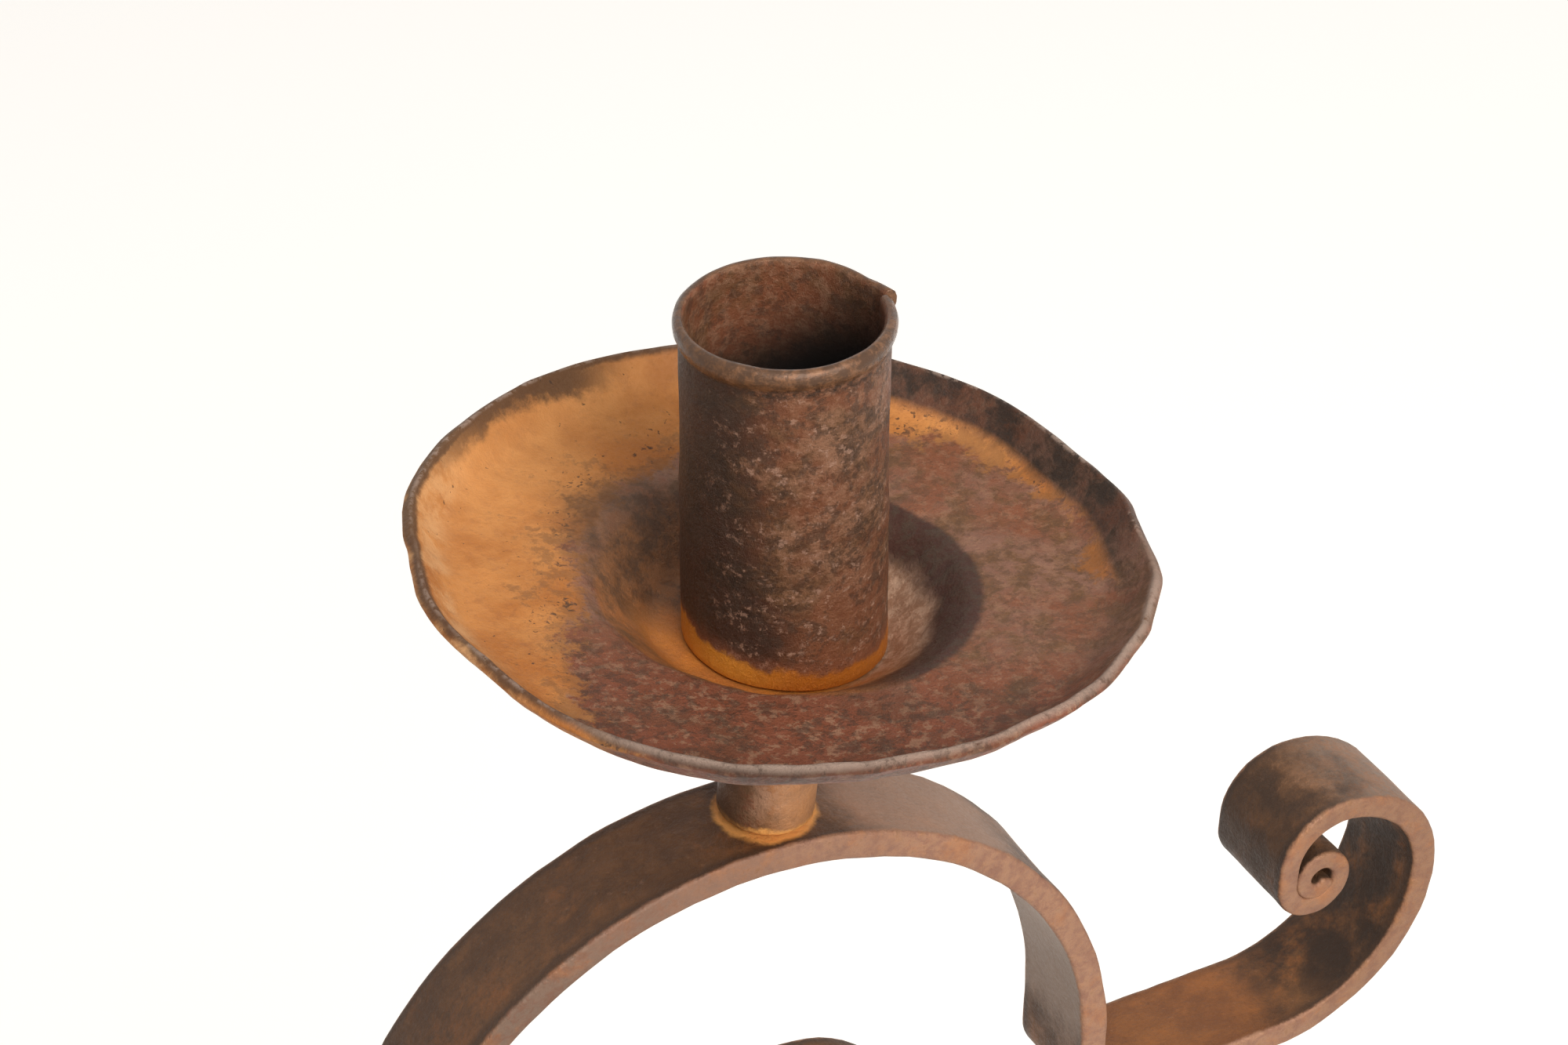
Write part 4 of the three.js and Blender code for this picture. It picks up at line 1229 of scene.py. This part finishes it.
def roll_cup(name, seam_degrees, upright):
    """Cup: the wall's cut end is drawn up and thickened into a bead, then rolled round to its open seam."""
    light = setting("light")
    wall, height = light.cup_wall, light.cup_height
    middle = light.cup_radius - wall / 2
    clear_bench()
    bpy.ops.mesh.primitive_plane_add(size=wall, location=(middle, 0, wall / 2), rotation=(math.pi / 2, 0, 0))
    piece = begin(name)
    pick(piece, lambda vert: vert.co.z > wall / 2)
    place, thick = Vector((middle, 0, wall)), wall
    for z, out, next_thick in cup_wall():
        if z > wall:
            spot = Vector((middle + out, 0, z))
            draw(spot - place, spot, grow=next_thick / thick)
            place, thick = spot, next_thick
    bpy.ops.mesh.select_all(action="SELECT")
    gap = light.seam / light.cup_radius
    bpy.ops.mesh.spin(steps=132, angle=2 * math.pi - gap, center=(0, 0, 0), axis=(0, 0, 1))
    face_out()
    take(piece)
    ends = [v.co.y for v in piece.data.vertices if v.co.x > 0 and abs(v.co.y) < light.seam * 1.4]
    first = gap / 2 if min(ends) > -SPECK else -gap / 2
    seam = math.radians(seam_degrees)
    settle(piece, Matrix.Rotation(first + seam, 4, "Z"))
    ease(piece, light.cup_edge, segments=2, limit=60)

    def fit(co):
        """Lift the seam's cut end into a lip, flare the foot and bend the cup back upright."""
        past = (math.atan2(co.y, co.x) - seam) % (2 * math.pi)
        lip = max(0, 1 - past / math.radians(18))
        high = clamp((co.z - height + 2 * light.bead) / light.bead)
        low = max(0, 1 - co.z / height * 1.6)
        spread = light.seam_lip * lip * high * high * (3 - 2 * high) + light.foot_flare * low
        grow = 1 + spread / light.cup_radius
        x, y, lean = co.x * grow, co.y * grow, math.tan(upright)
        return Vector((x - lean * co.z, y, co.z + lean * x * co.z / height))

    note(piece)
    reshape(piece, fit)
    hammer_all_over(piece, "cup")
    smooth(piece, 50)
    return piece


def cut_cup_floor(name):
    """Disc with a hole for the tenon, clear of the cup's wall."""
    light, gap = setting("light"), setting("bar").seat_gap
    ring = [(light.tenon + gap, 0), (light.cup_radius - light.cup_wall - gap, 0)]
    piece = turn_up(name, ring, sides=64, fill="NOTHING")
    work(piece, "SOLIDIFY", thickness=light.cup_floor, offset=1.0)
    ease(piece, light.floor_edge, segments=2)
    note(piece)
    smooth(piece)
    return piece


# One operator for each group of pieces


def share_out(pattern, craft, kind, places):
    """Copy a pattern piece to each place, in the name of the solid there, and drop the pattern."""
    for node, place in places:
        hand_over(twin(pattern, f"{craft}_{node}", place), node, kind)
    bpy.data.objects.remove(pattern)


def within(face, reach):
    """Whether a face lies no further than this from the middle, front to back."""
    return max(abs(vert.co.y) for vert in face.verts) < reach


def round_column(node, sides=SIDES):
    """A place on each side of the column for a piece that is made on the right."""
    return [(f"{node}_{side}", about_z(turn)) for side, turn in sides]


class ForgeOperator:
    bl_options = {"REGISTER", "UNDO"}

    def execute(self, context):
        self.make()
        return {"FINISHED"}


class CANDELABRA_OT_arms(ForgeOperator, bpy.types.Operator):
    """Draw out and bend both arched arms with their scroll ends"""

    bl_idname = "candelabra.arms"
    bl_label = "Forge the Arms"

    def make(self):
        share_out(forge_bar("arm", arm_course()), "forged", "bar", round_column("arm"))


class CANDELABRA_OT_brackets(ForgeOperator, bpy.types.Operator):
    """Bend both brackets that curl up into a volute under an arch"""

    bl_idname = "candelabra.brackets"
    bl_label = "Forge the Brackets"

    def make(self):
        share_out(forge_bar("bracket", bracket_course()), "forged", "bar", round_column("bracket"))


class CANDELABRA_OT_legs(ForgeOperator, bpy.types.Operator):
    """Bend the four legs with their rolled toes"""

    bl_idname = "candelabra.legs"
    bl_label = "Forge the Legs"

    def make(self):
        share_out(forge_bar("leg", leg_course()), "forged", "bar", round_column("leg", LEGS))


class CANDELABRA_OT_collars(ForgeOperator, bpy.types.Operator):
    """Close a collar round each arm and its bracket"""

    bl_idname = "candelabra.collars"
    bl_label = "Close the Collars"

    def make(self):
        bar, bracket = setting("bar"), setting("bracket")
        wall, room = bracket.collar_wall, bar.thick / 2 + bar.seat_gap
        wide = bar.width + 2 * bar.seat_gap
        low, high = contact_z() - room, setting("arm").height + room
        start = seat_x() + bracket.shoulder + bracket.collar_room
        clear_bench()
        bpy.ops.mesh.primitive_cube_add(
            size=1,
            location=(start + bracket.collar / 2, 0, (low + high) / 2),
            scale=(bracket.collar, wide + 2 * wall, high - low + 2 * wall),
        )
        piece = begin("collar")
        bpy.context.tool_settings.mesh_select_mode = (False, False, True)
        for end in (start, start + bracket.collar):
            pick(piece, lambda face: abs(face.calc_center_median().x - end) < SPECK, "faces")
            bpy.ops.mesh.inset(thickness=wall, depth=0)
        inner = wide / 2 + SPECK
        pick(piece, lambda face: abs(face.normal.x) > 0.9 and within(face, inner), "faces")
        bpy.ops.mesh.bridge_edge_loops()
        face_out()
        ease(piece, bracket.collar_soft, segments=4)
        work(piece, "REMESH", mode="VOXEL", voxel_size=bracket.collar_grain)
        note(piece, lambda co: (co.x - start, 0, 0))
        hammer_all_over(piece, "collar")
        smooth(piece)
        share_out(piece, "wrapped", "bar", round_column("collar"))


class CANDELABRA_OT_column(ForgeOperator, bpy.types.Operator):
    """Draw the square column to a point and shoulder its round neck"""

    bl_idname = "candelabra.column"
    bl_label = "Forge the Column"

    def make(self):
        column, light = setting("column"), setting("light")
        neck_top = middle_seat() + pan_floor() - setting("pan").sheet - setting("bar").seat_gap
        shaft_top = neck_top - column.neck
        clear_bench()
        bpy.ops.mesh.primitive_cube_add(size=column.side, location=(0, 0, column.foot + column.side / 2))
        piece = begin("forged_column")
        pick(piece, lambda vert: vert.co.z > column.foot + column.side / 2)
        steps = 60
        for _ in range(steps):
            draw((0, 0, (shaft_top - column.foot - column.side) / steps), (0, 0, 0))
        pick(piece, lambda vert: vert.co.z < column.foot + SPECK)
        draw((0, 0, -column.point), (0, 0, column.foot - column.point), grow=column.point_side / column.side)
        face_out()
        ease(piece, column.chamfer, limit=30)
        head = middle_seat() + head_foot()
        shoulder = [(light.stem_radius, shaft_top - column.neck / 2), (light.stem_radius, neck_top)]
        tenon = [(light.tenon, neck_top), (light.tenon, head)]
        neck = turn_up("turned_neck", [*shoulder, *tenon, *head_profile(head)], sides=48)
        ease(neck, light.turned_edge)
        work(piece, "BOOLEAN", operation="UNION", object=neck, solver="EXACT")
        bpy.data.objects.remove(neck)
        note(piece, lambda co: (co.z, 0, 0))
        hammer_all_over(piece, "column")
        smooth(piece)
        hand_over(piece, "column", "bar")


class CANDELABRA_OT_rivets(ForgeOperator, bpy.types.Operator):
    """Head over the rivets that hold the tabs to the column"""

    bl_idname = "candelabra.rivets"
    bl_label = "Set the Rivets"

    def make(self):
        column, reach = setting("column"), rivet_reach()
        head = dome(column.rivet_head, column.rivet_height, column.rivet_flat, reach)
        half = [(column.rivet, reach), *head]
        piece = turn_up("rivet", [*((r, -z) for r, z in reversed(half)), *half], sides=28)
        note(piece)
        hammer_all_over(piece, "rivet")
        smooth(piece)
        places = []
        for name, levels in rivet_levels().items():
            turn = Matrix.Rotation(math.pi / 2, 4, "X" if name.startswith("front") else "Y")
            for i, z in enumerate(levels):
                places.append((f"{name}_{i + 1}", Matrix.Translation((0, 0, z)) @ turn))
        share_out(piece, "headed", "rivet", places)


class CANDELABRA_OT_stems(ForgeOperator, bpy.types.Operator):
    """Turn the spacers that lift the side pans off their arches"""

    bl_idname = "candelabra.stems"
    bl_label = "Turn the Stems"

    def make(self):
        bar = setting("bar")
        hollow = setting("light").head ** 2 / (2 * (setting("arm").arch_radius - bar.thick / 2))
        low = -bar.thick - bar.seat_gap - hollow
        piece = turn_up("stem", stem_profile(low, head_foot()), sides=48)
        ease(piece, setting("light").turned_edge)
        note(piece)
        hammer_all_over(piece, "stem")
        smooth(piece)
        share_out(piece, "turned", "round", [(f"stem_{side}", side_light(turn)) for side, turn in SIDES])


class CANDELABRA_OT_pans(ForgeOperator, bpy.types.Operator):
    """Sink and hammer the three drip pans"""

    bl_idname = "candelabra.pans"
    bl_label = "Sink the Pans"

    def make(self):
        places = []
        for side, place, turn, _, _ in lights():
            places.append((f"pan_{side}", place @ Matrix.Translation((0, 0, pan_floor())) @ about_z(turn)))
        share_out(sink_pan("pan"), "sunk", "pan", places)


class CANDELABRA_OT_cups(ForgeOperator, bpy.types.Operator):
    """Roll the three cups with their open seams and beaded mouths"""

    bl_idname = "candelabra.cups"
    bl_label = "Roll the Cups"

    def make(self):
        for side, place, _, seam, upright in lights():
            place = place @ Matrix.Translation((0, 0, cup_foot()))
            share_out(roll_cup("cup", seam, upright), "rolled", "cup", [(f"cup_{side}", place)])


class CANDELABRA_OT_cup_floors(ForgeOperator, bpy.types.Operator):
    """Cut the discs that close the cups at the foot"""

    bl_idname = "candelabra.cup_floors"
    bl_label = "Cut the Cup Floors"

    def make(self):
        lift = Matrix.Translation((0, 0, cup_foot()))
        places = [(f"cup_floor_{side}", place @ lift) for side, place, _, _, _ in lights()]
        share_out(cut_cup_floor("cup_floor"), "cut", "cup", places)


class CANDELABRA_OT_stage(ForgeOperator, bpy.types.Operator):
    """Lay the pale floor, hang the soft lights and stand the camera"""

    bl_idname = "candelabra.stage"
    bl_label = "Set the Stage"

    def make(self):
        stage, scene = setting("stage"), bpy.context.scene
        clear_bench()
        bpy.ops.mesh.primitive_plane_add(size=FLOOR_SIZE, location=(0, 0, 0))
        floor = bpy.context.object
        floor.name = floor.data.name = "floor"
        floor.data.materials.append(floor_finish(tuple(stage.floor)))

        scene.world = bpy.data.worlds.new("studio_air")
        air = Tree(scene.world)
        background = air.tree.nodes["Background"].inputs
        strength = air.add("MapRange", {"Value": air.seen(), "To Min": stage.ambient, "To Max": 1.0})
        air.feed(background["Color"], (1.0, 0.98, 0.955, 1.0))
        air.feed(background["Strength"], strength.outputs["Result"])

        for name, power, swing, rise, distance, size in (
            ("key_light", stage.key, 2, 36, 1.2, 0.8),
            ("top_light", stage.top, -40, 72, 1.4, 0.9),
        ):
            a, b = math.radians(swing - 90), math.radians(rise)
            away = Vector((math.cos(a) * math.cos(b), math.sin(a) * math.cos(b), math.sin(b)))
            bpy.ops.object.light_add(type="AREA", location=Vector(LIT_SPOT) + distance * away)
            lamp = bpy.context.object
            lamp.name = name
            lamp.rotation_euler = away.to_track_quat("Z", "Y").to_euler()
            lamp.data.shape = "DISK"
            lamp.data.size = size
            lamp.data.energy = power
            lamp.data.color = (1.0, 0.97, 0.93)

        turn = (math.pi / 2 - stage.pitch, 0, stage.swing)
        bpy.ops.object.camera_add(location=stage.camera, rotation=turn)
        camera = bpy.context.object
        camera.name = "camera"
        camera.data.lens = stage.lens
        camera.data.sensor_width = 36
        camera.data.clip_start = 0.01
        scene.camera = camera
        scene.view_settings.view_transform = "Standard"


class CANDELABRA_PT_forge(bpy.types.Panel):
    """Every step of the candelabra, in the order that it is forged"""

    bl_label = "Candelabra"
    bl_idname = "CANDELABRA_PT_forge"
    bl_space_type = "VIEW_3D"
    bl_region_type = "UI"
    bl_category = "Candelabra"

    def draw(self, context):
        for step in STEPS:
            self.layout.operator(step.bl_idname)
        for group, kind in GROUPS.items():
            box = self.layout.box()
            box.label(text=group.title())
            for name in kind.__annotations__:
                box.prop(setting(group), name)


STEPS = (
    CANDELABRA_OT_stage,
    CANDELABRA_OT_column,
    CANDELABRA_OT_arms,
    CANDELABRA_OT_brackets,
    CANDELABRA_OT_collars,
    CANDELABRA_OT_legs,
    CANDELABRA_OT_rivets,
    CANDELABRA_OT_stems,
    CANDELABRA_OT_pans,
    CANDELABRA_OT_cups,
    CANDELABRA_OT_cup_floors,
)


def register():
    for kind in (*GROUPS.values(), *STEPS, CANDELABRA_PT_forge):
        bpy.utils.register_class(kind)
    for group, kind in GROUPS.items():
        setattr(bpy.types.Scene, f"candelabra_{group}", PointerProperty(type=kind))


def unregister():
    for group in GROUPS:
        delattr(bpy.types.Scene, f"candelabra_{group}")
    for kind in reversed((*GROUPS.values(), *STEPS, CANDELABRA_PT_forge)):
        bpy.utils.unregister_class(kind)


def main():
    register()
    for step in STEPS:
        group, name = step.bl_idname.split(".")
        getattr(getattr(bpy.ops, group), name)()


if __name__ == "__main__":
    main()
